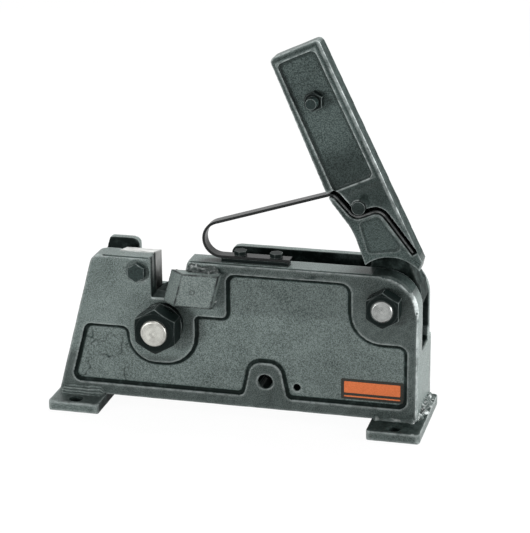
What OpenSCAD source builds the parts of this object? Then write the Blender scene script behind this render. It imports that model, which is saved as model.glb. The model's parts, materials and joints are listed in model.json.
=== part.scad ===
// Manual rebar cutter: a cast body on two foot plates, a toothed hand lever and a shear arm.
// X runs along the cutter to the lever end, Y from front to back, Z up from the bench.
// The origin lies on the bench, midway between the two foot bolt holes.

/* [Feet] */
// Half of the length over both foot plates
foot_half = 213.5; // [210:0.5:220]
// Length of one foot plate along the cutter
foot_w = 60; // [54:1:66]
// Thickness of a foot plate
foot_t = 12; // [10:0.5:15]
// Reach of the foot plates in front of the body
foot_reach = 32; // [30:1:40]
// Reach of the foot plates behind the body
foot_back = 2; // [0:0.5:6]
// Corner radius of a foot plate
foot_corner_r = 4; // [1:0.5:8]
// Diameter of the bolt hole in each foot plate
foot_hole_d = 13; // [9:0.5:16]
// Distance from the body's front face to the line of the foot holes
foot_hole_y = 20; // [17:0.5:22]
// Leg of the weld between body and foot plate
foot_weld = 6; // [3:0.5:8]

/* [Body] */
// Height of the cheeks above the bench
body_top = 180; // [177:0.5:184]
// End of the body under the lever
body_end = 205; // [202:0.5:208]
// Thickness of the front cheek
cheek_t = 28; // [26:0.5:32]
// Width of the slot between the cheeks
slot_w = 36; // [34:0.5:42]
// Thickness of the rear cheek
rear_t = 11; // [8:0.5:16]
// Extra depth of the base behind the rear cheek
base_step = 11; // [6:0.5:14]
// Height of the base behind the rear cheek
base_z = 88; // [70:1:95]
// Radius of the rounded corner above the lever pivot
corner_r = 42; // [36:0.5:44]
// Bevel on the front edges of the cheek
edge_bevel = 3.5; // [1:0.5:5]
// Lean of the tower's outer edge in degrees
tower_lean = 15; // [12:0.5:16]
// Position of the tower's outer edge at bench level
tower_foot_x = -214; // [-218:0.5:-210]
// Radius of the tower's outer corner
tower_r = 12; // [4:0.5:18]
// Depth of the framed recess in the front face
panel_depth = 3.5; // [1:0.5:5]
// Diameter of the hole through the base boss
boss_hole_d = 16.5; // [10:0.5:20]
// Diameter of the small hole beside the boss
small_hole_d = 8; // [5:0.5:10]
// Depth of the small hole
small_hole_depth = 20; // [8:1:26]

/* [Cutting notch] */
// Position of the notch wall on the tower side
notch_x = -97; // [-99:0.5:-95]
// Height of the notch floor
notch_z = 134; // [133:0.5:136]
// Width of the notch at its floor
notch_w = 32; // [28:0.5:36]
// Lean of the notch wall on the lever side in degrees
notch_lean = 13; // [8:0.5:16]
// Proud thickness of the bar stop block
stop_t = 15; // [10:0.5:20]
// Height of the bar stop block
stop_h = 39.5; // [34:0.5:44]
// Lean of the bar stop block in degrees
stop_lean = 15; // [10:0.5:18]

/* [Blades] */
// Thickness of the fixed blade
fixed_blade_t = 23; // [21:0.5:24]
// Length of the fixed blade along the cutter
fixed_blade_w = 41; // [36:0.5:46]
// Front cheek left in front of the fixed blade
blade_seat_t = 20; // [18:0.5:21]
// Drop of the fixed blade's top from front to back
blade_drop = 4.5; // [0:0.5:6]
// Thickness of the moving blade
moving_blade_t = 19.5; // [16:0.5:20]
// Width of the moving blade behind its edge
moving_blade_w = 18.5; // [14:0.5:20]
// Length of the moving blade's edge
moving_blade_h = 18; // [17:0.5:18.5]
// Overlap of the two edges when the blades are closed
blade_overlap = 0.5; // [0:0.5:2]
// Gap between the faces of the two blades
blade_gap = 0.3; // [0.2:0.05:0.5]
// Diameter of the fixed blade's bolt
blade_bolt_d = 12; // [8:1:14]

/* [Pivots] */
// Position of the front pivot along the cutter
front_x = -84; // [-85:0.5:-83]
// Height of the front pivot
front_z = 105.5; // [104:0.5:107]
// Diameter of the front pivot pin
front_pin_d = 32; // [28:0.5:34]
// Thread diameter at the front pin's end
front_thread_d = 30; // [24:0.5:30]
// Width across flats of the front nut
front_nut_af = 46; // [41:0.5:50]
// Height of the front nut
front_nut_h = 26; // [20:0.5:30]
// Height of the collar under the front nut
front_collar_h = 8; // [4:0.5:10]
// Length of the front pin that stands out of its nut
front_pin_out = 4; // [2:0.5:12]
// Wall of the arm's bush
arm_bush_wall = 4; // [3:0.5:5]
// Distance between the two pivots
pivot_gap = 256; // [255:0.5:258]
// Rise from the front pivot to the rear pivot
pivot_rise = 41.5; // [40:0.5:43]
// Diameter of the rear pivot pin
rear_pin_d = 26; // [24:0.5:28]
// Thread diameter at the rear pin's end
rear_thread_d = 24; // [18:0.5:24]
// Width across flats of the rear nut
rear_nut_af = 36; // [32:0.5:41]
// Height of the rear nut
rear_nut_h = 21.5; // [16:0.5:24]
// Length of the rear pin that stands out of its nut
rear_pin_out = 2.5; // [2:0.5:12]
// Wall of the lever's bush
lever_bush_wall = 4; // [3:0.5:5]
// Radial clearance of a pin in its bush
pin_clear = 0.05; // [0.02:0.01:0.1]

/* [Lever] */
// Lean of the lever from upright in degrees
lever_lean = 24.5; // [22:0.5:26]
// Length of the lever from its pivot to its top
lever_len = 294; // [270:1:320]
// Width of the lever at its top
lever_w = 59; // [54:0.5:64]
// Thickness of the lever's plate
lever_t = 22; // [20:0.5:23]
// Distance of the lever's front face behind the body's
lever_back = 4; // [3:0.5:5]
// Depth of the lever's framed recess
lever_recess = 4; // [2:0.5:6]
// Width of the frame round the lever's recess
lever_rim = 9; // [6:0.5:12]
// Corner radius at the lever's top
lever_r = 6; // [2:0.5:9]
// Radius of the hub under its teeth and over the cheek's corner
hub_r = 41.5; // [39:0.5:43]
// Radius over the facets of the hub's heel
heel_r = 36; // [32:0.5:40]
// Diameter of the handle bolt
handle_bolt_d = 12; // [8:0.5:14]
// Diameter of the pin over the spring strip
strip_pin_d = 15; // [10:0.5:16]

/* [Drive teeth] */
// Teeth on a full circle of the lever's hub
hub_teeth = 20; // [20:1:22]
// Teeth on a full circle of the arm's tail
arm_teeth = 60; // [58:1:62]
// Pressure angle of the teeth in degrees
pressure_angle = 20; // [18:1:25]
// Backlash of the teeth
backlash = 0.6; // [0.4:0.1:1]
// Turn of the arm from open to closed in degrees
arm_stroke = 15; // [13:0.5:16]

/* [Spring] */
// Thickness of the spring strip
spring_t = 3; // [2:0.25:4]
// Width of the spring strip
spring_w = 14; // [10:0.5:16]
// Slope of the spring's upper leg in degrees
spring_slope = 17.5; // [15:0.5:20]
// Position of the hairpin's outer end
spring_left = -39; // [-44:0.5:-34]
// End of the spring's lower leg
spring_end = 60; // [54:0.5:70]
// Thickness of the packing under the lower leg
packing_t = 4; // [2:0.5:6]
// Width of the strip groove at its mouth
groove_w = 9; // [7:0.5:12]
// Width of the strip groove at its lower end
groove_end_w = 7; // [5:0.5:8]
// Diameter of the spring screws
spring_screw_d = 8; // [5:0.5:8]

/* [Hidden] */
$fn = 64;
cast_green = [0.55, 0.58, 0.56];
lever_green = [0.33, 0.37, 0.36];
steel = [0.72, 0.73, 0.73];
black = [0.08, 0.08, 0.08];
bronze = [0.72, 0.55, 0.32];

// Planes from front to back, measured from the body's front face
slot_y = cheek_t;
rear_y = slot_y + slot_w;
back_y = rear_y + rear_t;
base_y = back_y + base_step;
side_gap = 0.5;
in_slot_front = slot_y + side_gap;
in_slot_back = rear_y - side_gap;
shear_y = blade_seat_t + fixed_blade_t;
lever_front = lever_back;
lever_rear = lever_front + lever_t;
spring_y = lever_front + 4;
spring_back = spring_y + spring_w;
groove_back = spring_back + 1;
past = 1;

// Pivots and the line between them
rear_x = front_x + sqrt(pivot_gap * pivot_gap - pivot_rise * pivot_rise);
rear_z = front_z + pivot_rise;
front_pivot = [front_x, front_z];
rear_pivot = [rear_x, rear_z];
mesh_angle = asin(pivot_rise / pivot_gap);
head_h = 9;
head_rim = 8;
front_head_r = front_pin_d / 2 + head_rim + 2;
rear_head_r = rear_pin_d / 2 + head_rim;
pin_chamfer = 1.5;
bolt_head_h = 7.5;
bolt_head_rim = 7;

// Drive teeth
tooth_module = 2 * pivot_gap / (hub_teeth + arm_teeth);
hub_pitch_r = tooth_module * hub_teeth / 2;
arm_pitch_r = tooth_module * arm_teeth / 2;
tooth_tip = 0.9 * tooth_module;
tooth_root = 1.2 * tooth_module;
flank_steps = 5;

// Tower and notch
tower_slope = tan(tower_lean);
notch_slope = tan(notch_lean);
notch_right = notch_x + notch_w;
rear_gap_left = notch_x - 33;
rear_gap_right = notch_x + 76;
rear_gap_z = notch_z - 6;
rear_gap_r = 8;
rear_tower_r = 2;
seat_z = notch_z + 2;
seat_fit = 0.2;
blade_bolt = [notch_x - 15.5, seat_z + 27.5];
spot_depth = 1;
spot_rim = 4.5;

// Slot floor inside the body
cavity_z = 62;
cavity_left = rear_gap_left + 2;
lip_z = 87;
lip_t = 12;
cavity_r = 6;

// Points on the body's outline
function tower_edge(z) = tower_foot_x + z * tower_slope;
function notch_edge(z) = notch_right + (z - notch_z) * notch_slope;
boss = [33, foot_t + 32.5];
small_hole = [68.5, foot_t + 27.5];

// Framed recess: its rim, the ear round the rear nut, the bow under the front nut and the arch over the boss
panel_rim = 12;
panel_low = 14;
panel_left = -10.5;
stop_shelf = 10.5;
shoulder_drop = 8.5;
ear_r = 47;
ear_w = 38.6;
bow_r = 49;
bow_w = 40.5;
arch_h = 41;
arch_w = 25;
arch_top_w = 16.5;

// Unit vector, rounded corners and offset paths
function unit(v) = v / norm(v);
function polar(r, a) = r * [cos(a), sin(a)];
function turned(p, a) = [p[0] * cos(a) - p[1] * sin(a), p[0] * sin(a) + p[1] * cos(a)];
function fillet(a, b, c, r, n = 6) =
    let (u = unit(a - b), w = unit(c - b), half = acos(u * w) / 2)
    let (mid = b + unit(u + w) * r / sin(half), reach = r / tan(half))
    let (p = b + u * reach - mid, q = b + w * reach - mid)
    let (s = atan2(p[1], p[0]), d = (atan2(q[1], q[0]) - s + 540) % 360 - 180)
    [for (i = [0 : n]) mid + polar(r, s + d * i / n)];
function rounded(pts, radii) =
    let (n = len(pts))
    [for (i = [0 : n - 1])
        each radii[i] > 0 ? fillet(pts[(i + n - 1) % n], pts[i], pts[(i + 1) % n], radii[i]) : [pts[i]]];
function heading(p, i) = unit(p[min(i + 1, len(p) - 1)] - p[max(i - 1, 0)]);
function beside(p, d0, d1) =
    let (n = len(p) - 1)
    [for (i = [0 : n]) p[i] + (d0 + (d1 - d0) * i / n) * turned(heading(p, i), 90)];
function backwards(p) = [for (i = [len(p) - 1 : -1 : 0]) p[i]];
function band(p, up0, up1, down) = concat(beside(p, up0, up1), backwards(beside(p, -down, -down)));

// Involute teeth on a part of a circle
function inv(a) = tan(a) * 180 / PI - a;
function half_tooth(count, pitch_r, r) =
    90 / count - backlash / pitch_r * 45 / PI + inv(pressure_angle)
    - inv(acos(min(1, pitch_r * cos(pressure_angle) / r)));
function tooth(count, pitch_r, a) =
    let (lo = pitch_r - tooth_root, hi = pitch_r + tooth_tip)
    let (rs = [for (i = [0 : flank_steps]) lo + (hi - lo) * i / flank_steps])
    concat([for (r = rs) polar(r, a - half_tooth(count, pitch_r, r))],
        [for (r = backwards(rs)) polar(r, a + half_tooth(count, pitch_r, r))]);
function sector(count, pitch_r, inner_r, first, number) =
    let (step = 360 / count, last = first + (number - 1) * step)
    concat([polar(inner_r, first - step / 2)],
        [for (k = [0 : number - 1]) each tooth(count, pitch_r, first + k * step)],
        [polar(inner_r, last + step / 2)]);

// Lever outline in its own frame: across to the right, then up along the lever
lever_left = -8.5;
lever_right = lever_left + lever_w;
lever_taper = 5;
lever_foot_r = hub_r;
lever_arc = [9, 8.5];
lever_plate = [[lever_left, lever_len], [lever_left - 3.5, 135], [-11, 128], [-2, 92], [-2, 78], [-5, 40],
    [46, 17], [lever_right + lever_taper + 0.5, 30], [lever_right, lever_len]];
lever_plate_r = [lever_r, 30, 25, 40, 40, 0, 2, 2, lever_r];
panel_foot = 136.5;
panel_head = lever_len - lever_rim;
lever_panel = [[lever_left + lever_rim - 3, panel_head], [lever_left + lever_rim - 3, panel_foot],
    [lever_right + lever_taper - lever_rim - 2, panel_foot], [lever_right - lever_rim, panel_head]];
low_panel = [[9, 94.5], [32, 94.5], [43.5, 48], [4, 59]];
handle_point = [lever_left + lever_w / 2 - 2, 235];
neck = [[4, 50], [38, 38], [40, 92], [28, 118], [8, 118]];
link = [[-22, 18], [4, 56], [38, 50], [34, 0]];
function on_lever(p) = rear_pivot + turned(p, lever_lean);

// Spring route: lower leg, hairpin, upper leg, then the S-shaped run inside the lever
strip_turn = [[-5, 133], [6, 100], [36, 99.5], [50, 42]];
strip_r = [9, 11, 12];
bend = [for (p = strip_turn) on_lever(p)];
strip_pin_at = [strip_turn[1][0] + 9.5, strip_turn[1][1] + spring_t / 2 + strip_pin_d / 2 + 1];
spring_z = body_top + packing_t + spring_t / 2;
leg_normal = [-sin(spring_slope), cos(spring_slope)];
hairpin_left = spring_left + spring_t / 2;
hairpin_r = (leg_normal * bend[0] + sin(spring_slope) * hairpin_left - cos(spring_slope) * spring_z)
    / (1 + cos(spring_slope) - sin(spring_slope));
hairpin = [hairpin_left + hairpin_r, spring_z + hairpin_r];
hairpin_steps = 18;
hairpin_turn = 180 - spring_slope;
leg_start = hairpin + hairpin_r * leg_normal;
strip_run = concat(fillet(leg_start, bend[0], bend[1], strip_r[0]),
    fillet(bend[0], bend[1], bend[2], strip_r[1]), fillet(bend[1], bend[2], bend[3], strip_r[2]), [bend[3]]);
spring_path = concat([[spring_end, spring_z]],
    [for (i = [0 : hairpin_steps]) hairpin + polar(hairpin_r, 270 - hairpin_turn * i / hairpin_steps)],
    strip_run);
groove_mouth = 20;
groove_end_gap = 1.5;
groove_path = concat([bend[0] - groove_mouth * unit(bend[0] - leg_start)], strip_run,
    [bend[3] + groove_end_gap * unit(bend[3] - bend[2])]);
groove_fit = 0.4;
strip_side = spring_t / 2 + groove_fit;
screw_head_h = 5.5;
screw_depth = 16;
screw_xs = [3, 43.5];
screw_y = spring_y + spring_w / 2;

// Moving blade and its seat, in the arm's closed position about the front pivot
edge_x = notch_x - front_x - blade_overlap;
blade_top = 40;
blade_foot = blade_top - moving_blade_h;
blade_face = shear_y + blade_gap;
blade_back = edge_x + moving_blade_w;
flange_x = edge_x + 3.5;
nose_x = blade_back + 15;
arm_boss_r = 29;
blade_screw_d = 5;
blade_screw_head_d = 8.5;
blade_screw_head_h = 4;
blade_screws = [[edge_x + 8, blade_top - 5], [blade_back - 4.5, blade_foot + 5]];

// Frame set-up: everything below is drawn from the body's front face
module placed() {
    translate([0, foot_hole_y, 0]) children();
}

// Flat shape in the X-Z plane, from one depth to another
module slab(y0, y1) {
    translate([0, y1, 0]) rotate([90, 0, 0]) linear_extrude(y1 - y0) children();
}

// Round bar along Y at a point of the X-Z plane
module rod(p, r, y0, y1) {
    translate([p[0], y1, p[1]]) rotate([90, 0, 0]) cylinder(r = r, h = y1 - y0);
}

// Hexagon along Z with the corners of one end turned off at 30 degrees
module hex_head(flats, h, low, top) {
    face_r = 0.475 * flats;
    corner_r = flats / 2 / cos(30);
    drop = (corner_r - face_r) * tan(30);
    intersection() {
        rotate(30) cylinder(r = corner_r, h = h, $fn = 6);
        rotate_extrude() polygon([[0, 0], [low ? face_r : corner_r, 0], [corner_r, low ? drop : 0],
            [corner_r, top ? h - drop : h], [top ? face_r : corner_r, h], [0, h]]);
    }
}

// Hexagon along Y, chamfered at its front, its back or both
module hex_bar(p, flats, y0, y1, front = true, back = false) {
    translate([p[0], y1, p[1]]) rotate([90, 0, 0]) hex_head(flats, y1 - y0, back, front);
}

// Headed pin along Y, turned in one piece, with its thread to the front
module headed_pin(p, pin_d, thread_d, head_r, reach) {
    pin_r = pin_d / 2;
    thread_r = thread_d / 2;
    long = back_y + reach;
    translate([p[0], back_y, p[1]]) rotate([90, 0, 0]) rotate_extrude()
        polygon([[0, -head_h], [head_r, -head_h], [head_r, 0], [pin_r, 0], [pin_r, back_y], [thread_r, back_y],
            [thread_r, long - pin_chamfer], [thread_r - pin_chamfer, long], [0, long]]);
}

// Shape drawn in the lever's own frame
module lever_slab(y0, y1) {
    slab(y0, y1) translate(rear_pivot) rotate(lever_lean) children();
}

// Shape drawn in the arm's closed position, shown open
module arm_slab(y0, y1) {
    slab(y0, y1) translate(front_pivot) rotate(-arm_stroke) children();
}

// Outline shared by both cheeks, with the gap between tower and main part
module cheek(y0, y1, gap, gap_r, outer_r) {
    corner = [body_end - corner_r, body_top - corner_r];
    outline = [[tower_edge(foot_t), foot_t], [body_end, foot_t], [body_end, corner[1]], corner,
        [corner[0], body_top], gap[3], gap[2], gap[1], gap[0], [tower_edge(body_top), body_top]];
    slab(y0, y1) polygon(rounded(outline, [0, 0, 0, 0, 0, gap_r, 0, 0, gap_r, outer_r]));
    rod(corner, corner_r, y0, y1);
}

// Prism that bevels the front edge of a straight run from p to q, with the body on its left
module bevel_cut(p, q) {
    run = norm(q - p);
    translate([p[0], 0, p[1]]) rotate([0, -atan2(q[1] - p[1], q[0] - p[0]), 0]) rotate([90, 0, 90])
        linear_extrude(run)
            polygon([[-past, past], [-past, -edge_bevel - past], [edge_bevel + past, past]]);
}

// Three-cornered weld bead along X
module weld_x(x0, x1, y, z, leg) {
    translate([x0, y, z]) rotate([90, 0, 90]) linear_extrude(x1 - x0)
        polygon([[0, 0], [-leg, 0], [0, leg]]);
}

// Recess outline in the front face, clear of both pivots, the stop block and the boss
module panel_outline() {
    top = body_top - panel_rim;
    low = foot_t + panel_low;
    step = front_z + stop_shelf;
    left_top = front_z - shoulder_drop;
    end = body_end - panel_rim;
    ear_low = rear_z - ear_r;
    ear_left = rear_x - ear_w;
    bow_low = front_z - bow_r;
    arch = low + arch_h;
    polygon(rounded([[panel_left, top], [ear_left, top], [ear_left, ear_low], [end, ear_low], [end, low],
        [boss[0] + arch_w, low], [boss[0] + arch_top_w, arch], [boss[0] - arch_top_w, arch],
        [boss[0] - arch_w, low], [tower_edge(low) + panel_rim, low],
        [tower_edge(left_top) + panel_rim, left_top], [front_x - bow_w, left_top], [front_x - bow_w, bow_low],
        [front_x + bow_w - 4, bow_low], [front_x + bow_w - 4, step], [panel_left, step]],
        [10, 12, 34, 10, 10, 7, 15, 15, 8, 9, 9, 9, 30, 36, 6, 6]));
}

module body_casting() {
    front_gap = [[notch_x, body_top], [notch_x, notch_z], [notch_right, notch_z],
        [notch_edge(body_top), body_top]];
    rear_gap = [[rear_gap_left, body_top], [rear_gap_left, rear_gap_z], [rear_gap_right, rear_gap_z],
        [rear_gap_right, body_top]];
    far = 2 * foot_half;
    color(cast_green) placed() difference() {
        union() {
            cheek(0, slot_y, front_gap, 0.01, tower_r);
            cheek(rear_y, back_y, rear_gap, rear_gap_r, rear_tower_r);
            slab(slot_y, rear_y) polygon(rounded([[tower_edge(foot_t), foot_t], [body_end, foot_t],
                [body_end, lip_z], [body_end - lip_t, lip_z], [body_end - lip_t, cavity_z],
                [cavity_left, cavity_z], [cavity_left, notch_z], [tower_edge(notch_z), notch_z]],
                [0, 0, 0, 3, cavity_r, cavity_r, 3, 0]));
            slab(back_y, base_y) polygon([[tower_edge(foot_t), foot_t], [body_end, foot_t],
                [body_end, base_z], [tower_edge(base_z), base_z]]);
        }
        slab(-past, panel_depth) panel_outline();
        // Bevels on the top edge, the rounded corner and the end
        bevel_cut([body_end - corner_r, body_top], [notch_edge(body_top) - past, body_top]);
        bevel_cut([notch_x + past, body_top], [tower_edge(body_top) + tower_r, body_top]);
        bevel_cut([body_end, foot_t - past], [body_end, body_top - corner_r]);
        translate([body_end - corner_r, 0, body_top - corner_r]) rotate([-90, 0, 0]) difference() {
            translate([0, -2 * corner_r, -past]) cube([2 * corner_r, 2 * corner_r, edge_bevel + past]);
            translate([0, 0, -past])
                cylinder(r1 = corner_r - edge_bevel - past, r2 = corner_r, h = edge_bevel + past);
        }
        // Seat of the fixed blade in the tower, and its bolt hole
        translate([notch_x - fixed_blade_w - seat_fit, blade_seat_t, seat_z])
            cube([fixed_blade_w + seat_fit + past, fixed_blade_t, far]);
        rod(blade_bolt, blade_bolt_d / 2 + 0.5, -past, blade_seat_t + past);
        rod(blade_bolt, blade_bolt_d / 2 + bolt_head_rim - 3.5 + spot_rim, -past, spot_depth);
        // Pivot bores, with room for the pin heads in the base
        rod(front_pivot, front_pin_d / 2, -past, base_y + past);
        rod(front_pivot, front_head_r + past, back_y, base_y + past);
        rod(rear_pivot, rear_pin_d / 2, -past, base_y + past);
        // Base holes
        rod(boss, boss_hole_d / 2, -past, base_y + past);
        rod(small_hole, small_hole_d / 2, -past, small_hole_depth);
        // Threaded holes for the spring screws
        for (x = screw_xs)
            translate([x, screw_y, body_top - screw_depth])
                cylinder(d = spring_screw_d, h = screw_depth + past);
    }
}

module foot_plate(x0) {
    color(cast_green) placed() difference() {
        linear_extrude(foot_t) polygon(rounded([[x0, -foot_reach], [x0 + foot_w, -foot_reach],
            [x0 + foot_w, base_y + foot_back], [x0, base_y + foot_back]],
            [for (i = [0 : 3]) foot_corner_r]));
        translate([x0 + foot_w / 2, -foot_hole_y, -past]) cylinder(d = foot_hole_d, h = foot_t + 2 * past);
    }
}

module left_foot_plate() {
    foot_plate(-foot_half);
}

module right_foot_plate() {
    foot_plate(foot_half - foot_w);
}

module foot_welds() {
    inner = foot_half - foot_w;
    color(cast_green) placed() {
        weld_x(tower_edge(foot_t) + 2, -inner - 2, 0, foot_t, foot_weld);
        weld_x(inner + 2, body_end - edge_bevel - past, 0, foot_t, foot_weld);
        translate([body_end, base_y - 4, foot_t]) rotate([90, 0, 0]) linear_extrude(base_y - 8)
            polygon([[0, 0], [foot_weld, 0], [0, foot_weld]]);
    }
}

module fixed_blade() {
    top = body_top + past;
    color(steel) placed() difference() {
        translate([notch_x - fixed_blade_w, 0, 0]) rotate([90, 0, 90]) linear_extrude(fixed_blade_w)
            polygon([[blade_seat_t, seat_z], [shear_y, seat_z], [shear_y, top - blade_drop],
                [blade_seat_t, top]]);
        rod(blade_bolt, blade_bolt_d / 2, blade_seat_t - past, shear_y - 5);
    }
}

module fixed_blade_bolt() {
    color(cast_green) placed() {
        hex_bar(blade_bolt, blade_bolt_d + bolt_head_rim, spot_depth - bolt_head_h, spot_depth);
        rod(blade_bolt, blade_bolt_d / 2, 0, shear_y - 6);
    }
}

module bar_stop_block() {
    stop_z = seat_z - 5.5;
    stop_x = notch_x + 13.5;
    long = 59 * cos(stop_lean);
    chamfer = stop_t + 1;
    color(cast_green) placed() intersection() {
        translate([stop_x, 0, stop_z]) rotate([0, stop_lean, 0]) translate([0, 0, -stop_h])
            linear_extrude(3 * stop_h) polygon([[0, 0], [chamfer, -stop_t], [long, -stop_t], [long, 0]]);
        translate([stop_x - stop_h, -2 * stop_t, stop_z]) cube([4 * stop_h, 4 * stop_t, stop_h]);
    }
}

module stop_block_welds() {
    stop_top = seat_z - 5.5 + stop_h;
    right = notch_x + 13.5 + stop_h * tan(stop_lean) + 59;
    color(cast_green) placed() {
        weld_x(notch_edge(stop_top) + 4, right - 4, 0, stop_top, foot_weld);
        translate([right - stop_h * tan(stop_lean) + 5, 0, seat_z - 4]) rotate([90, 0, 0])
            cylinder(r = foot_weld / 2, h = foot_weld / 2);
    }
}

module front_pivot_pin() {
    color(steel) placed() headed_pin(front_pivot, front_pin_d, front_thread_d, front_head_r,
        front_collar_h + front_nut_h + front_pin_out);
}

module front_pivot_collar() {
    color(black) placed() difference() {
        rod(front_pivot, front_nut_af / 2 + 1, -front_collar_h, 0);
        rod(front_pivot, front_thread_d / 2, -front_collar_h - past, past);
    }
}

module front_pivot_nut() {
    color(black) placed() difference() {
        hex_bar(front_pivot, front_nut_af, -front_collar_h - front_nut_h, -front_collar_h, true, true);
        rod(front_pivot, front_thread_d / 2, -front_collar_h - front_nut_h - past, past);
    }
}

module rear_pivot_pin() {
    color(steel) placed() headed_pin(rear_pivot, rear_pin_d, rear_thread_d, rear_head_r,
        rear_nut_h + rear_pin_out);
}

module rear_pivot_nut() {
    color(black) placed() difference() {
        hex_bar(rear_pivot, rear_nut_af, -rear_nut_h, 0, true, true);
        rod(rear_pivot, rear_thread_d / 2, -rear_nut_h - past, past);
    }
}

module return_spring() {
    color(steel) placed() difference() {
        slab(spring_y, spring_back) polygon(band(spring_path, spring_t / 2, spring_t / 2, spring_t / 2));
        for (x = screw_xs)
            translate([x, screw_y, body_top]) cylinder(d = spring_screw_d, h = packing_t + spring_t + past);
    }
}

module spring_packing() {
    color(black) placed() difference() {
        translate([hairpin[0], spring_y, body_top])
            cube([spring_end - 2 - hairpin[0], spring_w, packing_t]);
        for (x = screw_xs)
            translate([x, screw_y, body_top - past]) cylinder(d = spring_screw_d, h = packing_t + 2 * past);
    }
}

module spring_screws() {
    under_head = body_top + packing_t + spring_t;
    color(steel) placed() for (x = screw_xs) translate([x, screw_y, 0]) {
        translate([0, 0, under_head]) hex_head(spring_screw_d + 5, screw_head_h, true);
        translate([0, 0, body_top - screw_depth])
            cylinder(d = spring_screw_d, h = under_head - body_top + screw_depth + past);
    }
}

module moving_arm() {
    step = 360 / arm_teeth;
    first = mesh_angle - 3 * step;
    low = first - step / 2;
    high = mesh_angle + step / 2;
    web_r = arm_pitch_r - tooth_root;
    color(lever_green) placed() difference() {
        union() {
            rod(front_pivot, arm_boss_r, in_slot_front, in_slot_back);
            slab(in_slot_front, in_slot_back) translate(front_pivot)
                polygon([polar(arm_boss_r, mesh_angle + 92), polar(arm_boss_r, mesh_angle - 92),
                    polar(web_r, low), polar(web_r, high)]);
            slab(in_slot_front, in_slot_back) translate(front_pivot)
                polygon(sector(arm_teeth, arm_pitch_r, web_r - 12, first, 4));
            arm_slab(in_slot_front, in_slot_back)
                polygon([[flange_x, 0], [nose_x, 0], [nose_x, blade_top - 6], [nose_x - 6, blade_top],
                    [flange_x, blade_top]]);
        }
        rod(front_pivot, front_pin_d / 2 + pin_clear + arm_bush_wall, slot_y, rear_y);
        // Pocket for the moving blade, open towards the notch
        arm_slab(blade_face, rear_y) translate([blade_back - 3 * arm_boss_r, blade_foot])
            square([3 * arm_boss_r, 2 * blade_top]);
        for (p = blade_screws)
            arm_slab(blade_face - 10, blade_face + past) translate(p) circle(d = blade_screw_d);
    }
}

module arm_bush() {
    color(bronze) placed() difference() {
        rod(front_pivot, front_pin_d / 2 + pin_clear + arm_bush_wall, in_slot_front, in_slot_back);
        rod(front_pivot, front_pin_d / 2 + pin_clear, slot_y, rear_y);
    }
}

module moving_blade() {
    rear = blade_face + moving_blade_t;
    color(steel) placed() difference() {
        arm_slab(blade_face, rear) translate([edge_x, blade_foot]) square([moving_blade_w, moving_blade_h]);
        for (p = blade_screws) {
            arm_slab(blade_face - past, rear + past) translate(p) circle(d = blade_screw_d);
            arm_slab(rear - blade_screw_head_h, rear + past) translate(p) circle(d = blade_screw_head_d);
        }
    }
}

module moving_blade_screws() {
    rear = blade_face + moving_blade_t;
    color(black) placed() for (p = blade_screws) {
        arm_slab(blade_face - 9, rear - blade_screw_head_h + past) translate(p) circle(d = blade_screw_d);
        arm_slab(rear - blade_screw_head_h, rear - 0.5) translate(p) circle(d = blade_screw_head_d);
    }
}

module lever_casting() {
    step = 360 / hub_teeth;
    first = 180 + mesh_angle - step / 2;
    arc = on_lever(lever_arc);
    color(lever_green) placed() difference() {
        union() {
            lever_slab(lever_front, lever_rear) polygon(rounded(lever_plate, lever_plate_r));
            lever_slab(lever_rear, in_slot_back) polygon(rounded(neck, [0, 0, 8, 8, 8]));
            lever_slab(in_slot_front, in_slot_back) polygon(link);
            lever_slab(in_slot_front, in_slot_back) circle(r = heel_r, $fn = 12);
            slab(in_slot_front, in_slot_back) translate(rear_pivot)
                polygon(concat(sector(hub_teeth, hub_pitch_r, hub_r - 12, first, 5), [[0, 0]]));
        }
        // Arc under the plate, clear of the cheek's rounded corner
        rod(arc, lever_foot_r, -past, in_slot_front);
        rod(rear_pivot, rear_pin_d / 2 + pin_clear + lever_bush_wall, slot_y, rear_y);
        // Framed recesses in the front face
        lever_slab(lever_front - past, lever_front + lever_recess)
            polygon(rounded(lever_panel, [5, 4, 6, 6]));
        lever_slab(lever_front - past, lever_front + lever_recess / 3)
            polygon(rounded(low_panel, [5, 6, 6, 6]));
        // Groove for the spring strip, with the pin across it
        slab(lever_front - past, groove_back)
            polygon(band(groove_path, groove_w - strip_side, groove_end_w - strip_side, strip_side));
        lever_slab(lever_front - past, lever_rear - 2) translate(strip_pin_at) circle(d = strip_pin_d);
        lever_slab(lever_front - past, lever_rear + past) translate(handle_point) circle(d = handle_bolt_d);
    }
}

module lever_bush() {
    color(bronze) placed() difference() {
        rod(rear_pivot, rear_pin_d / 2 + pin_clear + lever_bush_wall, in_slot_front, in_slot_back);
        rod(rear_pivot, rear_pin_d / 2 + pin_clear, slot_y, rear_y);
    }
}

module handle_bolt() {
    p = on_lever(handle_point);
    color(black) placed() {
        rod(p, handle_bolt_d / 2, lever_front - 16, lever_rear + past);
        hex_bar(p, handle_bolt_d + bolt_head_rim, lever_rear, lever_rear + bolt_head_h, false, true);
    }
}

module handle_nut() {
    p = on_lever(handle_point);
    floor_y = lever_front + lever_recess;
    nut_h = 10;
    color(black) placed() difference() {
        hex_bar(p, handle_bolt_d + bolt_head_rim, floor_y - nut_h, floor_y);
        rod(p, handle_bolt_d / 2, floor_y - nut_h - past, floor_y + past);
    }
}

module strip_pin() {
    color(lever_green) placed() lever_slab(lever_front - 2, lever_rear - 2) translate(strip_pin_at)
        circle(d = strip_pin_d);
}

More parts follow.
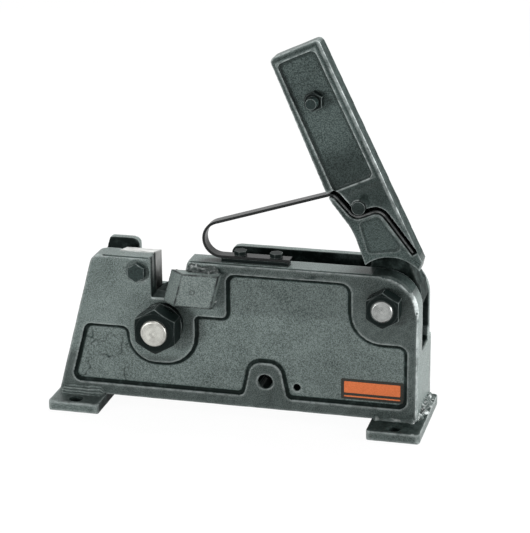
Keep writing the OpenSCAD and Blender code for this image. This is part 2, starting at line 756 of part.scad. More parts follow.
body_casting();
left_foot_plate();
right_foot_plate();
foot_welds();
fixed_blade();
fixed_blade_bolt();
bar_stop_block();
stop_block_welds();
front_pivot_pin();
front_pivot_collar();
front_pivot_nut();
rear_pivot_pin();
rear_pivot_nut();
return_spring();
spring_packing();
spring_screws();
moving_arm();
arm_bush();
moving_blade();
moving_blade_screws();
lever_casting();
lever_bush();
handle_bolt();
handle_nut();
strip_pin();
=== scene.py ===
# %% [markdown]
# This is a bench cutter for reinforcing bars: a cast body on two welded foot plates, a hand lever
# whose toothed hub drives a shear arm, and a hairpin strip that lifts the lever again. The exact
# solids come in as a fixed frame. Blender adds what a drawing lacks: soft cast edges, hammered
# paint, weld beads, worn steel and studio light.

# %% Load the frame
import json
import math

import bmesh
import bpy
import numpy as np
from mathutils import Matrix, Vector, noise

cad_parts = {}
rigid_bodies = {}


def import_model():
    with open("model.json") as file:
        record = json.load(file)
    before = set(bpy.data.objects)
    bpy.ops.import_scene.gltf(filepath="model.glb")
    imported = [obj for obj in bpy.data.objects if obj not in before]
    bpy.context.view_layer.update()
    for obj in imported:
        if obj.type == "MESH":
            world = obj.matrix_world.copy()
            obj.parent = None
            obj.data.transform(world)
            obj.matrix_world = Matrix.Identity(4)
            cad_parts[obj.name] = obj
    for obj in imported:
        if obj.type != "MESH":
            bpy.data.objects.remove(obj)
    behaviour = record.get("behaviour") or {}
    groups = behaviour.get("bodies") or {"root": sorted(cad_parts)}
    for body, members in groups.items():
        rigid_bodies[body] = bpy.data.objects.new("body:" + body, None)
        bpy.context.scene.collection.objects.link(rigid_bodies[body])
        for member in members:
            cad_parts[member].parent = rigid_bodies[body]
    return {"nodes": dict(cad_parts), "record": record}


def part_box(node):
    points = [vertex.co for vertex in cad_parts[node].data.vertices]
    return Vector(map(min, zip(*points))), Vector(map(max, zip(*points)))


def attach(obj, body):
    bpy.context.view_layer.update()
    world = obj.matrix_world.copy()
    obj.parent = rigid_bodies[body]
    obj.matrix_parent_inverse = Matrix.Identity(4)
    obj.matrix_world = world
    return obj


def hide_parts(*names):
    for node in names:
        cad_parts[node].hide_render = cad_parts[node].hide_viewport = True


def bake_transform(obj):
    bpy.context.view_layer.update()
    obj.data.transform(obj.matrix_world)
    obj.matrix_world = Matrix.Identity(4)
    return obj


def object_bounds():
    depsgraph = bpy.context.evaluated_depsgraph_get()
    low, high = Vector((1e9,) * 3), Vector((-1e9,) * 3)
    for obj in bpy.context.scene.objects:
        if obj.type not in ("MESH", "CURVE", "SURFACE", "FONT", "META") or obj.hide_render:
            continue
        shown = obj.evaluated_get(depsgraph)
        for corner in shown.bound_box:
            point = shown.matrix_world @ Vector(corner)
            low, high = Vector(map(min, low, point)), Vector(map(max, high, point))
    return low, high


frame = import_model()
cad_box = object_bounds()
scene = bpy.context.scene
nodes = frame["nodes"]
MM = 0.001
FACE_Y = 20.0
print("nodes in the frame:", len(nodes))


def at(x, y, z):
    """A point given in millimetres, with y counted from the body's front face."""
    return Vector((x, y + FACE_Y, z)) * MM


# %% [markdown]
# The camera comes first, because every later choice is judged through it. A long lens stands more
# than two metres away, a little to the right and above, as in a catalogue picture. The position is
# built from its own right, up and back directions, so that a small roll can be added at the end.

# %% Camera
AZIMUTH = math.radians(14.557)
ELEVATION = math.radians(19.128)
ROLL = math.radians(-0.54)
FOCAL_PX = 1999.7
IMAGE_H_PX = 533
SENSOR_MM = 36.0
CLIP_END = 20.0
OFFSET_RIGHT, OFFSET_UP, DISTANCE = 31.62, 168.32, 2249.64

sin_a, cos_a = math.sin(AZIMUTH), math.cos(AZIMUTH)
sin_e, cos_e = math.sin(ELEVATION), math.cos(ELEVATION)
level_right = Vector((cos_a, sin_a, 0))
level_up = Vector((-sin_a * sin_e, cos_a * sin_e, cos_e))
back = Vector((sin_a * cos_e, -cos_a * cos_e, sin_e))
right = math.cos(ROLL) * level_right + math.sin(ROLL) * level_up
up = math.cos(ROLL) * level_up - math.sin(ROLL) * level_right

camera_data = bpy.data.cameras.new("catalogue_camera")
camera_data.sensor_width = SENSOR_MM
camera_data.lens = SENSOR_MM * FOCAL_PX / IMAGE_H_PX
camera_data.clip_end = CLIP_END
camera = bpy.data.objects.new("catalogue_camera", camera_data)
scene.collection.objects.link(camera)
place = right * OFFSET_RIGHT + up * OFFSET_UP + back * DISTANCE + Vector((0, FACE_Y, 0))
turn = Matrix((right, up, back)).transposed().to_4x4()
camera.matrix_world = Matrix.Translation(place * MM) @ turn
scene.camera = camera
print("lens", round(camera_data.lens, 2), "mm")

# %% [markdown]
# Effects that several finishes share are shader node groups with named sockets. A group is built
# once and then placed in each material with its own values, the way a paint shop keeps one
# recipe for hammered paint and changes only the pigment. These helpers make a group with its
# sockets, add a node with its settings, and feed a socket with a number or with another socket.

# %% Groups, nodes and links
FLOAT, COLOUR = "NodeSocketFloat", "NodeSocketColor"


def new_group(name, inputs, outputs):
    tree = bpy.data.node_groups.new(name, "ShaderNodeTree")
    for title, kind, value in inputs:
        tree.interface.new_socket(title, in_out="INPUT", socket_type=kind).default_value = value
    for title, kind in outputs:
        tree.interface.new_socket(title, in_out="OUTPUT", socket_type=kind)
    return tree, tree.nodes.new("NodeGroupInput"), tree.nodes.new("NodeGroupOutput")


def add(tree, kind, **settings):
    node = tree.nodes.new(kind)
    for key, value in settings.items():
        if isinstance(value, (int, float, tuple)) and key in node.inputs:
            node.inputs[key].default_value = value
        else:
            setattr(node, key, value)
    return node


def feed(tree, socket, value):
    if isinstance(value, (int, float, tuple)):
        socket.default_value = value
    else:
        tree.links.new(value, socket)


def put_out(tree, group_output, **sockets):
    for title, socket in sockets.items():
        tree.links.new(socket, group_output.inputs[title])
    print("group", tree.name, "with", len(tree.nodes), "nodes")


# %% [markdown]
# Node trees read like long sums. Small functions for a sum, a change of range, a mix of two colours
# and a noise keep each effect to a few lines. A Mix node keeps its colour sockets after those for
# numbers and vectors, so they are found by their place in the row.

# %% Sums, colours and noise
MIX_FACTOR, MIX_FIRST, MIX_SECOND, MIX_RESULT = 0, 6, 7, 2
FULL = (0.0, 1.0)


def calc(tree, operation, a, b=0.0):
    node = add(tree, "ShaderNodeMath", operation=operation)
    feed(tree, node.inputs[0], a)
    feed(tree, node.inputs[1], b)
    return node.outputs[0]


def span(tree, value, old_range, new_range):
    """A value taken from one range to another, with its ends held."""
    node = add(tree, "ShaderNodeMapRange")
    for socket, number in zip(node.inputs, (value, *old_range, *new_range)):
        feed(tree, socket, number)
    return node.outputs[0]


def mix_colour(tree, factor, a, b):
    node = add(tree, "ShaderNodeMix", data_type="RGBA")
    for place_in_row, value in ((MIX_FACTOR, factor), (MIX_FIRST, a), (MIX_SECOND, b)):
        feed(tree, node.inputs[place_in_row], value)
    return node.outputs[MIX_RESULT]


def grain(tree, coordinates, scale, detail, rough):
    node = add(tree, "ShaderNodeTexNoise", Detail=detail, Roughness=rough)
    feed(tree, node.inputs["Vector"], coordinates)
    feed(tree, node.inputs["Scale"], scale)
    return node.outputs["Fac"]


def object_coordinates(tree):
    return add(tree, "ShaderNodeTexCoord").outputs["Object"]


def kept_value(tree, name):
    """A value that a mesh keeps at its points."""
    return add(tree, "ShaderNodeAttribute", attribute_name=name).outputs["Fac"]


def rgb(r, g, b):
    return (r, g, b, 1)


# %% [markdown]
# Hammered paint on a rough casting has two scales. Fine pits of one or two millimetres break up
# the light, and broad patches are a little lighter or darker where the coat is thick or thin. Both
# come from noise in the object's own coordinates, so nothing slides when the view changes.

# %% Hammered paint
SPECK_SHARE, PATCH_SHARE = 0.76, 0.24
SPECK_RANGE, PATCH_RANGE = (0.38, 0.62), (0.3, 0.7)
GLOSS_SWING = (-0.05, 0.09)
PIT_HEIGHT, PATCH_HEIGHT = 0.6, 0.9
paint_tree, paint_in, paint_out = new_group(
    "hammered_paint",
    [("Paint", COLOUR, rgb(0.2, 0.2, 0.2)), ("Shade", COLOUR, rgb(0.1, 0.1, 0.1)),
     ("Pit Scale", FLOAT, 450.0), ("Patch Scale", FLOAT, 25.0), ("Roughness", FLOAT, 0.45)],
    [("Colour", COLOUR), ("Roughness", FLOAT), ("Height", FLOAT)])
where = object_coordinates(paint_tree)
pits = grain(paint_tree, where, paint_in.outputs["Pit Scale"], detail=2.0, rough=0.65)
patches = grain(paint_tree, where, paint_in.outputs["Patch Scale"], detail=4.0, rough=0.6)
speck_tone = calc(paint_tree, "MULTIPLY", span(paint_tree, pits, SPECK_RANGE, FULL), SPECK_SHARE)
patch_tone = calc(paint_tree, "MULTIPLY", span(paint_tree, patches, PATCH_RANGE, FULL), PATCH_SHARE)
tone = calc(paint_tree, "ADD", speck_tone, patch_tone)
colour = mix_colour(paint_tree, tone, paint_in.outputs["Shade"], paint_in.outputs["Paint"])
gloss_change = span(paint_tree, patches, PATCH_RANGE, GLOSS_SWING)
gloss = calc(paint_tree, "ADD", paint_in.outputs["Roughness"], gloss_change)
pit_height = calc(paint_tree, "MULTIPLY", pits, PIT_HEIGHT)
height = calc(paint_tree, "ADD", pit_height, calc(paint_tree, "MULTIPLY", patches, PATCH_HEIGHT))
put_out(paint_tree, paint_out, Colour=colour, Roughness=gloss, Height=height)

# %% [markdown]
# Edges of a painted casting are rubbed bright where the coat is thin, and they also carry a painted
# highlight, the light that a rounded edge catches. Each cast piece stores how convex it is in an
# attribute, and this group turns that into a broken mask for both.

# %% Rubbed and highlighted edges
BREAK_RANGE, BREAK_DEPTH = (0.34, 0.6), (0.25, 1.0)
edge_tree, edge_in, edge_out = new_group(
    "rubbed_and_highlit_edges",
    [("Colour", COLOUR, rgb(0.1, 0.1, 0.1)), ("Rubbed", COLOUR, rgb(0.4, 0.42, 0.41)),
     ("Amount", FLOAT, 0.6), ("Break Scale", FLOAT, 120.0)],
    [("Colour", COLOUR), ("Mask", FLOAT)])
edge_where = object_coordinates(edge_tree)
breaks = grain(edge_tree, edge_where, edge_in.outputs["Break Scale"], detail=3.0, rough=0.6)
break_share = span(edge_tree, breaks, BREAK_RANGE, BREAK_DEPTH)
broken = calc(edge_tree, "MULTIPLY", kept_value(edge_tree, "edge"), break_share)
edge_mask = calc(edge_tree, "MULTIPLY", broken, edge_in.outputs["Amount"])
edge_colour = mix_colour(edge_tree, edge_mask, edge_in.outputs["Colour"], edge_in.outputs["Rubbed"])
put_out(edge_tree, edge_out, Colour=edge_colour, Mask=edge_mask)

# %% [markdown]
# Every inner corner is darkened, with painted shade as well as the dirt that gathers there, and
# painted shade and grease darken the slot and the places round the nuts. The corners come from the
# mesh, as a value for how concave it is, and the other dark places are given one by one as a second
# value. The dark colour of this group stands for dirt and painted shade at once.

# %% Painted shade and dirt
SPOT_SCALE, SPOT_RANGE, SPOT_SWING = 90.0, (0.3, 0.65), (0.8, 1.15)
shade_and_dirt_tree, shade_and_dirt_in, shade_and_dirt_out = new_group(
    "painted_shade_and_dirt",
    [("Colour", COLOUR, rgb(0.1, 0.1, 0.1)), ("Dirt", COLOUR, rgb(0.005, 0.009, 0.008)),
     ("Corners", FLOAT, 0.9), ("Grease", FLOAT, 0.9)],
    [("Colour", COLOUR), ("Mask", FLOAT)])
spots = grain(shade_and_dirt_tree, object_coordinates(shade_and_dirt_tree), SPOT_SCALE, detail=4.0, rough=0.65)
uneven = span(shade_and_dirt_tree, spots, SPOT_RANGE, SPOT_SWING)
corners = calc(shade_and_dirt_tree, "MULTIPLY", kept_value(shade_and_dirt_tree, "cavity"), shade_and_dirt_in.outputs["Corners"])
laid_shade = calc(shade_and_dirt_tree, "MULTIPLY", kept_value(shade_and_dirt_tree, "shade_and_dirt"), shade_and_dirt_in.outputs["Grease"])
darkening_depth = calc(shade_and_dirt_tree, "MULTIPLY", calc(shade_and_dirt_tree, "MAXIMUM", corners, laid_shade), uneven)
shade_and_dirt_mask = calc(shade_and_dirt_tree, "MINIMUM", darkening_depth, 1.0)
shaded_and_dirty_colour = mix_colour(shade_and_dirt_tree, shade_and_dirt_mask, shade_and_dirt_in.outputs["Colour"], shade_and_dirt_in.outputs["Dirt"])
put_out(shade_and_dirt_tree, shade_and_dirt_out, Colour=shaded_and_dirty_colour, Mask=shade_and_dirt_mask)

# %% [markdown]
# Machined steel keeps the marks of its tool. On a turned pin end they are rings about the pin's
# axis, so this group measures the distance from a given centre and lets noise vary the spacing.

# %% Turned rings
STAIN_SCALE, RING_SHARE, STAIN_SHARE = 160.0, 0.5, 0.5
CLEAN_RANGE, STAIN_RANGE, STAIN_GLOSS = (0.38, 0.60), (0.3, 0.7), (-0.08, 0.12)
ring_tree, ring_in, ring_out = new_group(
    "turned_rings",
    [("Centre X", FLOAT, 0.0), ("Centre Z", FLOAT, 0.0), ("Ring Scale", FLOAT, 1400.0),
     ("Steel", COLOUR, rgb(0.6, 0.6, 0.6)), ("Stain", COLOUR, rgb(0.3, 0.3, 0.3)),
     ("Roughness", FLOAT, 0.3)],
    [("Colour", COLOUR), ("Roughness", FLOAT), ("Height", FLOAT)])
split = add(ring_tree, "ShaderNodeSeparateXYZ")
ring_where = object_coordinates(ring_tree)
ring_tree.links.new(ring_where, split.inputs[0])
off_x = calc(ring_tree, "SUBTRACT", split.outputs["X"], ring_in.outputs["Centre X"])
off_z = calc(ring_tree, "SUBTRACT", split.outputs["Z"], ring_in.outputs["Centre Z"])
square_x = calc(ring_tree, "MULTIPLY", off_x, off_x)
square = calc(ring_tree, "ADD", square_x, calc(ring_tree, "MULTIPLY", off_z, off_z))
rings = add(ring_tree, "ShaderNodeTexNoise", noise_dimensions="1D", Detail=2.0, Scale=1.0)
ring_count = calc(ring_tree, "MULTIPLY", calc(ring_tree, "SQRT", square), ring_in.outputs["Ring Scale"])
ring_tree.links.new(ring_count, rings.inputs["W"])
stains = grain(ring_tree, ring_where, STAIN_SCALE, detail=3.0, rough=0.6)
stained = calc(ring_tree, "ADD", calc(ring_tree, "MULTIPLY", rings.outputs["Fac"], RING_SHARE),
               calc(ring_tree, "MULTIPLY", stains, STAIN_SHARE))
clean = span(ring_tree, stained, CLEAN_RANGE, FULL)
ring_colour = mix_colour(ring_tree, clean, ring_in.outputs["Stain"], ring_in.outputs["Steel"])
stain_gloss = span(ring_tree, stains, STAIN_RANGE, STAIN_GLOSS)
ring_gloss = calc(ring_tree, "ADD", ring_in.outputs["Roughness"], stain_gloss)
put_out(ring_tree, ring_out, Colour=ring_colour, Roughness=ring_gloss, Height=rings.outputs["Fac"])

# %% [markdown]
# Each finish is one material: the groups give colour, roughness and height, and the Principled
# shader itself stays in the material. These helpers start a material, place a group in it with its
# own values and add a bump. Dirt and painted shade lie on the paint, and the rubbed and highlighted
# edges come last, on top of both.

# %% Wear and bump


def blank_material(name):
    material = bpy.data.materials.new(name)
    material.use_nodes = True
    tree = material.node_tree
    return material, tree, tree.nodes["Principled BSDF"]


def place_group(tree, group, **values):
    node = add(tree, "ShaderNodeGroup", node_tree=group)
    for title, value in values.items():
        node.inputs[title.replace("_", " ")].default_value = value
    return node


def add_bump(tree, shader, height_socket, depth_mm, strength):
    bump = add(tree, "ShaderNodeBump", Strength=strength, Distance=depth_mm * MM)
    tree.links.new(height_socket, bump.inputs["Height"])
    tree.links.new(bump.outputs["Normal"], shader.inputs["Normal"])


def wear(tree, shader, colour_socket, edge_wear_and_highlight, amount, corner_darkening, laid_darkening):
    darkening = place_group(tree, shade_and_dirt_tree, Corners=corner_darkening, Grease=laid_darkening)
    edges = place_group(tree, edge_tree, Rubbed=edge_wear_and_highlight, Amount=amount)
    tree.links.new(colour_socket, darkening.inputs["Colour"])
    tree.links.new(darkening.outputs["Colour"], edges.inputs["Colour"])
    tree.links.new(edges.outputs["Colour"], shader.inputs["Base Color"])


# %% [markdown]
# Two recipes make nearly all finishes of the cutter. Paint has pits, patches and a sheen level, and
# a sheen that is the same all over is set on the shader's own socket. Turned steel is fully
# metallic and shows the marks of its tool.

# %% Recipes for paint and steel
PAINT_CORNERS, PAINT_DARKENING, PAINT_BUMP = 1.0, 0.95, 0.6
STEEL_EDGES, STEEL_CORNERS, STEEL_DARKENING = 0.5, 0.7, 0.9
TOOL_MARK_MM, STEEL_BUMP = 0.15, 0.4


def painted(name, paint, shade, edge_wear_and_highlight, amount, roughness, pit_scale, depth_mm, sheen_level):
    material, tree, shader = blank_material(name)
    coat = place_group(tree, paint_tree, Paint=paint, Shade=shade, Roughness=roughness, Pit_Scale=pit_scale)
    wear(tree, shader, coat.outputs["Colour"], edge_wear_and_highlight, amount, PAINT_CORNERS, PAINT_DARKENING)
    tree.links.new(coat.outputs["Roughness"], shader.inputs["Roughness"])
    shader.inputs["Specular IOR Level"].default_value = sheen_level
    add_bump(tree, shader, coat.outputs["Height"], depth_mm, PAINT_BUMP)
    return material


def turned_steel(name, centre, steel, stain, roughness):
    material, tree, shader = blank_material(name)
    marks = place_group(tree, ring_tree, Centre_X=centre.x, Centre_Z=centre.z, Steel=steel, Stain=stain,
                        Roughness=roughness)
    wear(tree, shader, marks.outputs["Colour"], steel, STEEL_EDGES, STEEL_CORNERS, STEEL_DARKENING)
    tree.links.new(marks.outputs["Roughness"], shader.inputs["Roughness"])
    shader.inputs["Metallic"].default_value = 1.0
    add_bump(tree, shader, marks.outputs["Height"], TOOL_MARK_MM, STEEL_BUMP)
    return material


# %% [markdown]
# The body has a grey-green hammered paint, and the lever a darker one. Their rubbed colours are
# pale, for worn paint and for the painted highlights on the edges alike. The stop block's edges are
# worn dark, so its rubbed colour is nearly black. Oxide and spring steel use the same recipe with
# very dark colours and little sheen, because black steel mirrors a white room easily, and their
# paler rubbed colours paint thin highlights on their edges. The two finishes for places in painted
# shade and grease are the dullest.

# %% Painted and blackened finishes
finishes_before = len(bpy.data.materials)
body_paint = painted("body_hammered_paint", paint=rgb(0.196, 0.240, 0.229),
                     shade=rgb(0.032, 0.045, 0.041), edge_wear_and_highlight=rgb(0.68, 0.74, 0.73), amount=0.9,
                     roughness=0.34, pit_scale=950.0, depth_mm=0.45, sheen_level=0.2)
lever_paint = painted("lever_dark_paint", paint=rgb(0.104, 0.137, 0.130),
                      shade=rgb(0.014, 0.020, 0.019), edge_wear_and_highlight=rgb(0.66, 0.72, 0.71), amount=0.85,
                      roughness=0.30, pit_scale=900.0, depth_mm=0.5, sheen_level=0.09)
block_paint = painted("stop_block_paint", paint=rgb(0.205, 0.244, 0.233),
                      shade=rgb(0.052, 0.069, 0.064), edge_wear_and_highlight=rgb(0.006, 0.009, 0.009), amount=1.0,
                      roughness=0.40, pit_scale=900.0, depth_mm=0.45, sheen_level=0.25)
bolt_paint = painted("painted_bolt", paint=rgb(0.026, 0.040, 0.038),
                     shade=rgb(0.010, 0.016, 0.015), edge_wear_and_highlight=rgb(0.30, 0.34, 0.33), amount=0.8,
                     roughness=0.36, pit_scale=620.0, depth_mm=0.2, sheen_level=0.10)
weld_paint = painted("weld_bead_paint", paint=rgb(0.085, 0.108, 0.103),
                     shade=rgb(0.030, 0.042, 0.039), edge_wear_and_highlight=rgb(0.60, 0.64, 0.63), amount=0.8,
                     roughness=0.34, pit_scale=260.0, depth_mm=0.15, sheen_level=0.4)
black_oxide = painted("black_oxide_steel", paint=rgb(0.007, 0.012, 0.011),
                      shade=rgb(0.003, 0.005, 0.005), edge_wear_and_highlight=rgb(0.28, 0.32, 0.31), amount=0.5,
                      roughness=0.28, pit_scale=700.0, depth_mm=0.12, sheen_level=0.05)
spring_steel = painted("dark_spring_steel", paint=rgb(0.010, 0.012, 0.012),
                       shade=rgb(0.004, 0.005, 0.005), edge_wear_and_highlight=rgb(0.30, 0.31, 0.31), amount=0.7,
                       roughness=0.24, pit_scale=700.0, depth_mm=0.1, sheen_level=0.2)
shaded_iron = painted("dull_iron_in_shade", paint=rgb(0.150, 0.200, 0.190),
                      shade=rgb(0.050, 0.070, 0.066), edge_wear_and_highlight=rgb(0.30, 0.34, 0.33), amount=0.4,
                      roughness=0.55, pit_scale=500.0, depth_mm=0.4, sheen_level=0.05)
black_shade_iron = painted("black_shade_iron", paint=rgb(0.030, 0.040, 0.038),
                       shade=rgb(0.015, 0.020, 0.019), edge_wear_and_highlight=rgb(0.10, 0.11, 0.11), amount=0.2,
                       roughness=0.6, pit_scale=500.0, depth_mm=0.4, sheen_level=0.02)
print("painted finishes:", len(bpy.data.materials) - finishes_before)

# %% [markdown]
# Bare steel shows rings about each pin's own axis. The rear pin's steel is a darker copy of the
# front pin's, a painted shade for the less light it gets. The blades were ground, not turned, so
# their rings have a centre far below the bench and look like straight lines. The two bushes are
# bronze.

# %% Steel and bronze
FRONT_PIN = at(-84, 0, 105.5)
REAR_PIN = at(168.614, 0, 147)
FAR_BELOW = at(-118, 0, -400)
front_pin_steel = turned_steel("front_pin_steel", FRONT_PIN, steel=rgb(0.50, 0.50, 0.465),
                               stain=rgb(0.30, 0.30, 0.275), roughness=0.36)
rear_pin_steel_in_shade = turned_steel("rear_pin_steel_in_shade", REAR_PIN, steel=rgb(0.37, 0.38, 0.37),
                              stain=rgb(0.18, 0.19, 0.185), roughness=0.30)
blade_steel = turned_steel("bare_blade_steel", FAR_BELOW, steel=rgb(0.64, 0.65, 0.63),
                           stain=rgb(0.40, 0.41, 0.40), roughness=0.42)
bush_bronze = turned_steel("bearing_bronze", REAR_PIN, steel=rgb(0.60, 0.42, 0.20),
                           stain=rgb(0.40, 0.27, 0.12), roughness=0.35)

PAINTED = ("body_casting", "left_foot_plate", "right_foot_plate", "foot_welds", "stop_block_welds")
OXIDE = ("front_pivot_collar", "front_pivot_nut", "rear_pivot_nut", "spring_packing", "spring_screws",
         "moving_blade_screws", "handle_nut")
FINISH = {name: body_paint for name in PAINTED} | {name: black_oxide for name in OXIDE}
FINISH |= {"fixed_blade": blade_steel, "moving_blade": blade_steel, "fixed_blade_bolt": bolt_paint,
           "handle_bolt": bolt_paint, "bar_stop_block": block_paint, "return_spring": spring_steel,
           "front_pivot_pin": front_pin_steel, "rear_pivot_pin": rear_pin_steel_in_shade, "moving_arm": lever_paint,
           "lever_casting": lever_paint, "strip_pin": lever_paint, "arm_bush": bush_bronze,
           "lever_bush": bush_bronze}
for name, finish in FINISH.items():
    nodes[name].data.materials.clear()
    nodes[name].data.materials.append(finish)
print("finishes on the nodes:", len(set(FINISH.values())))

# %% [markdown]
# Meshes carry three values for the finishes: how convex a point is, how concave, and how much dirt
# and painted shade is laid on it. They are worked out on plain arrays of points and edges, for a
# whole mesh at once. Each is kept as an attribute on the points, where the shader groups find it by
# its name.

# %% Arrays and kept values


def mesh_arrays(mesh):
    points = np.empty(len(mesh.vertices) * 3)
    mesh.vertices.foreach_get("co", points)
    normals = np.empty(len(mesh.vertices) * 3)
    mesh.vertex_normals.foreach_get("vector", normals)
    edges = np.empty(len(mesh.edges) * 2, int)
    mesh.edges.foreach_get("vertices", edges)
    edges = edges.reshape(-1, 2)
    count = np.maximum(np.bincount(edges.ravel(), minlength=len(mesh.vertices)), 1)
    return points.reshape(-1, 3), normals.reshape(-1, 3), edges, count


def keep_value(mesh, name, values):
    layer = mesh.attributes.get(name) or mesh.attributes.new(name, "FLOAT", "POINT")
    layer.data.foreach_set("value", np.clip(values, 0, 1).astype(np.float32))


def kept(mesh, name):
    values = np.zeros(len(mesh.vertices), np.float32)
    if name in mesh.attributes:
        mesh.attributes[name].data.foreach_get("value", values)
    return values


# %% [markdown]
# An edge stands out from what is round it, and an inner corner lies back. The mean of a point's
# neighbours lies below the surface on an edge and above it in a corner, so the distance to that
# mean tells one from the other. It is counted in voxels, so that fine and coarse meshes agree.

# %% Edges and inner corners
CAST_EDGE, MACHINED_EDGE = (0.018, 0.050, 2), (0.030, 0.060, 1)
INNER_CORNER = (0.014, 0.010, 2)


def neighbour_mean(values, edges, count):
    total = np.zeros_like(values)
    np.add.at(total, edges[:, 0], values[edges[:, 1]])
    np.add.at(total, edges[:, 1], values[edges[:, 0]])
    return total / (count[:, None] if values.ndim > 1 else count)


def keep_shape_values(mesh, voxel_mm, edge_reach):
    """Keeps edge and cavity. A reach is where a value starts, its full range, and how far it spreads."""
    points, normals, edges, count = mesh_arrays(mesh)
    above = points - neighbour_mean(points, edges, count)
    dip = np.einsum("ij,ij->i", above, normals) / (voxel_mm * MM)
    for name, values, (start, full, spread) in (("edge", dip, edge_reach), ("cavity", -dip, INNER_CORNER)):
        values = np.maximum(values - start, 0)
        for _ in range(spread):
            values = (values + neighbour_mean(values, edges, count)) / 2
        keep_value(mesh, name, values / full)


# %% [markdown]
# Dirt, wear and painted shade have soft limits. A fade rises from nothing at one place to all at
# another, and it falls where the second place is the smaller one.
# Smooth noise breaks up what would look too clean.

# %% Soft limits and noise


def fade(values, none_at, all_at):
    t = np.clip((values - none_at) / (all_at - none_at), 0, 1)
    return t * t * (3 - 2 * t)


def between(values, low, high, soft):
    return fade(values, low - soft, low + soft) * fade(values, high + soft, high - soft)


def soft_box(x, y, z, sides):
    """A mask with soft sides. Each side is an axis, where the mask is nothing and where it is full."""
    along = {"x": x, "y": y, "z": z}
    return math.prod(fade(along[axis], none_at, all_at) for axis, none_at, all_at in sides)


def lumps(points, size_mm, seed):
    """Smooth noise from -1 to 1 at each point, with features of about the given size."""
    shift = Vector((seed, 2 * seed, 3 * seed))
    return np.array([noise.noise(Vector(p) / (size_mm * MM) + shift) for p in points])


def body_coordinates(mesh):
    """Millimetres, with y counted from the body's front face."""
    points = mesh_arrays(mesh)[0] / MM
    return points[:, 0], points[:, 1] - FACE_Y, points[:, 2]


# %% [markdown]
# The solids of the frame stay as they are. A dressed piece is a new object with a copy of a node's
# mesh. It says which node it stands for and which body it rides, so that it moves with the joints
# and replaces the plain solid.

# %% Pieces that stand for a node
BODIES = frame["record"]["behaviour"]["bodies"]
BODY_OF = {node: body for body, members in BODIES.items() for node in members}
MERGE_MM = 0.001


def welded_copy(node, name):
    """A new object with a copy of a node's mesh, its points merged."""
    piece = bpy.data.objects.new(name, nodes[node].data.copy())
    scene.collection.objects.link(piece)
    solid = bmesh.new()
    solid.from_mesh(piece.data)
    bmesh.ops.remove_doubles(solid, verts=solid.verts, dist=MERGE_MM * MM)
    solid.to_mesh(piece.data)
    solid.free()
    return piece


def stands_for(piece, node):
    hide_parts(node)
    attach(piece, BODY_OF[node])


# %% [markdown]
# A sand casting has no sharp edge anywhere. Bevels on every edge of a solid with this many cuts
# would fight each other, so the cast pieces are remeshed with even voxels and then relaxed, which
# rounds each edge by about the same amount. A little low noise, only inwards, gives the skin of
# the mould without making the piece bigger.

# %% Skin of a casting
RELAX, MOULD_SEED = 0.5, 5.0


def cast_skin(node, name, voxel_mm, passes, lump_mm=0.0, lump_size_mm=10.0):
    skin = welded_copy(node, name)
    even = skin.modifiers.new("even_voxels", "REMESH")
    even.mode = "VOXEL"
    even.voxel_size = voxel_mm * MM
    soft = skin.modifiers.new("soft_edges", "SMOOTH")
    soft.factor = RELAX
    soft.iterations = passes
    bpy.context.view_layer.update()
    mesh = bpy.data.meshes.new_from_object(skin.evaluated_get(bpy.context.evaluated_depsgraph_get()))
    skin.modifiers.clear()
    skin.data = mesh
    mesh.name = name
    keep_shape_values(mesh, voxel_mm, CAST_EDGE if lump_mm else MACHINED_EDGE)
    points, normals, _, _ = mesh_arrays(mesh)
    if lump_mm:
        inwards = (lumps(points, lump_size_mm, MOULD_SEED) - 1) / 2
        points += normals * (lump_mm * MM * inwards)[:, None]
    low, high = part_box(node)
    mesh.vertices.foreach_set("co", np.clip(points, np.array(low), np.array(high)).ravel())
    mesh.shade_smooth()
    mesh.materials.clear()
    mesh.materials.append(FINISH[node])
    stands_for(skin, node)
    print(name, len(mesh.polygons), "faces")
    return skin


# %% [markdown]
# Big castings get coarser voxels than small ones, which keeps their meshes light. The lever's edges
# are the softest, so it gets the most passes. The plates, the block and the arm have lower lumps
# than the two large castings.

# %% Cast skins of this cutter
FOOT_SKIN = {"voxel_mm": 1.1, "passes": 4, "lump_mm": 0.3, "lump_size_mm": 10.0}
body_skin = cast_skin("body_casting", "body_cast_skin", voxel_mm=1.2, passes=4,
                      lump_mm=0.4, lump_size_mm=16.0)
lever_skin = cast_skin("lever_casting", "lever_cast_skin", voxel_mm=1.0, passes=5,
                       lump_mm=0.4, lump_size_mm=12.0)
left_foot = cast_skin("left_foot_plate", "left_foot_skin", **FOOT_SKIN)
right_foot = cast_skin("right_foot_plate", "right_foot_skin", **FOOT_SKIN)
stop_skin = cast_skin("bar_stop_block", "stop_block_skin", voxel_mm=0.8, passes=3,
                      lump_mm=0.3, lump_size_mm=8.0)
arm_skin = cast_skin("moving_arm", "moving_arm_skin", voxel_mm=0.9, passes=3,
                     lump_mm=0.2, lump_size_mm=12.0)

# %% [markdown]
# Where the mould tore, the recess near the tower shows thin wandering lines. They follow the places
# where a slow noise crosses zero: the points there are pressed in a little and darkened with painted
# shade in the crack.

# %% Mould cracks
CRACK_LOW, CRACK_HIGH = (-200, 2.0, 24), (-122, 6.0, 98)
CRACK_DEPTH, CRACK_WIDTH, CRACK_SHADE = 0.5, 0.06, 0.9
PATH_SIZE, PATH_SEED = 23.7, 2.37
CURL_SIZE, CURL_SEED, CURL_SHARE = 8.9, 6.61, 0.3
TORN_SIZE, TORN_SEED, TORN_RANGE = 30.0, 8.1, (-0.4, -0.1)
SHOWS = 0.3


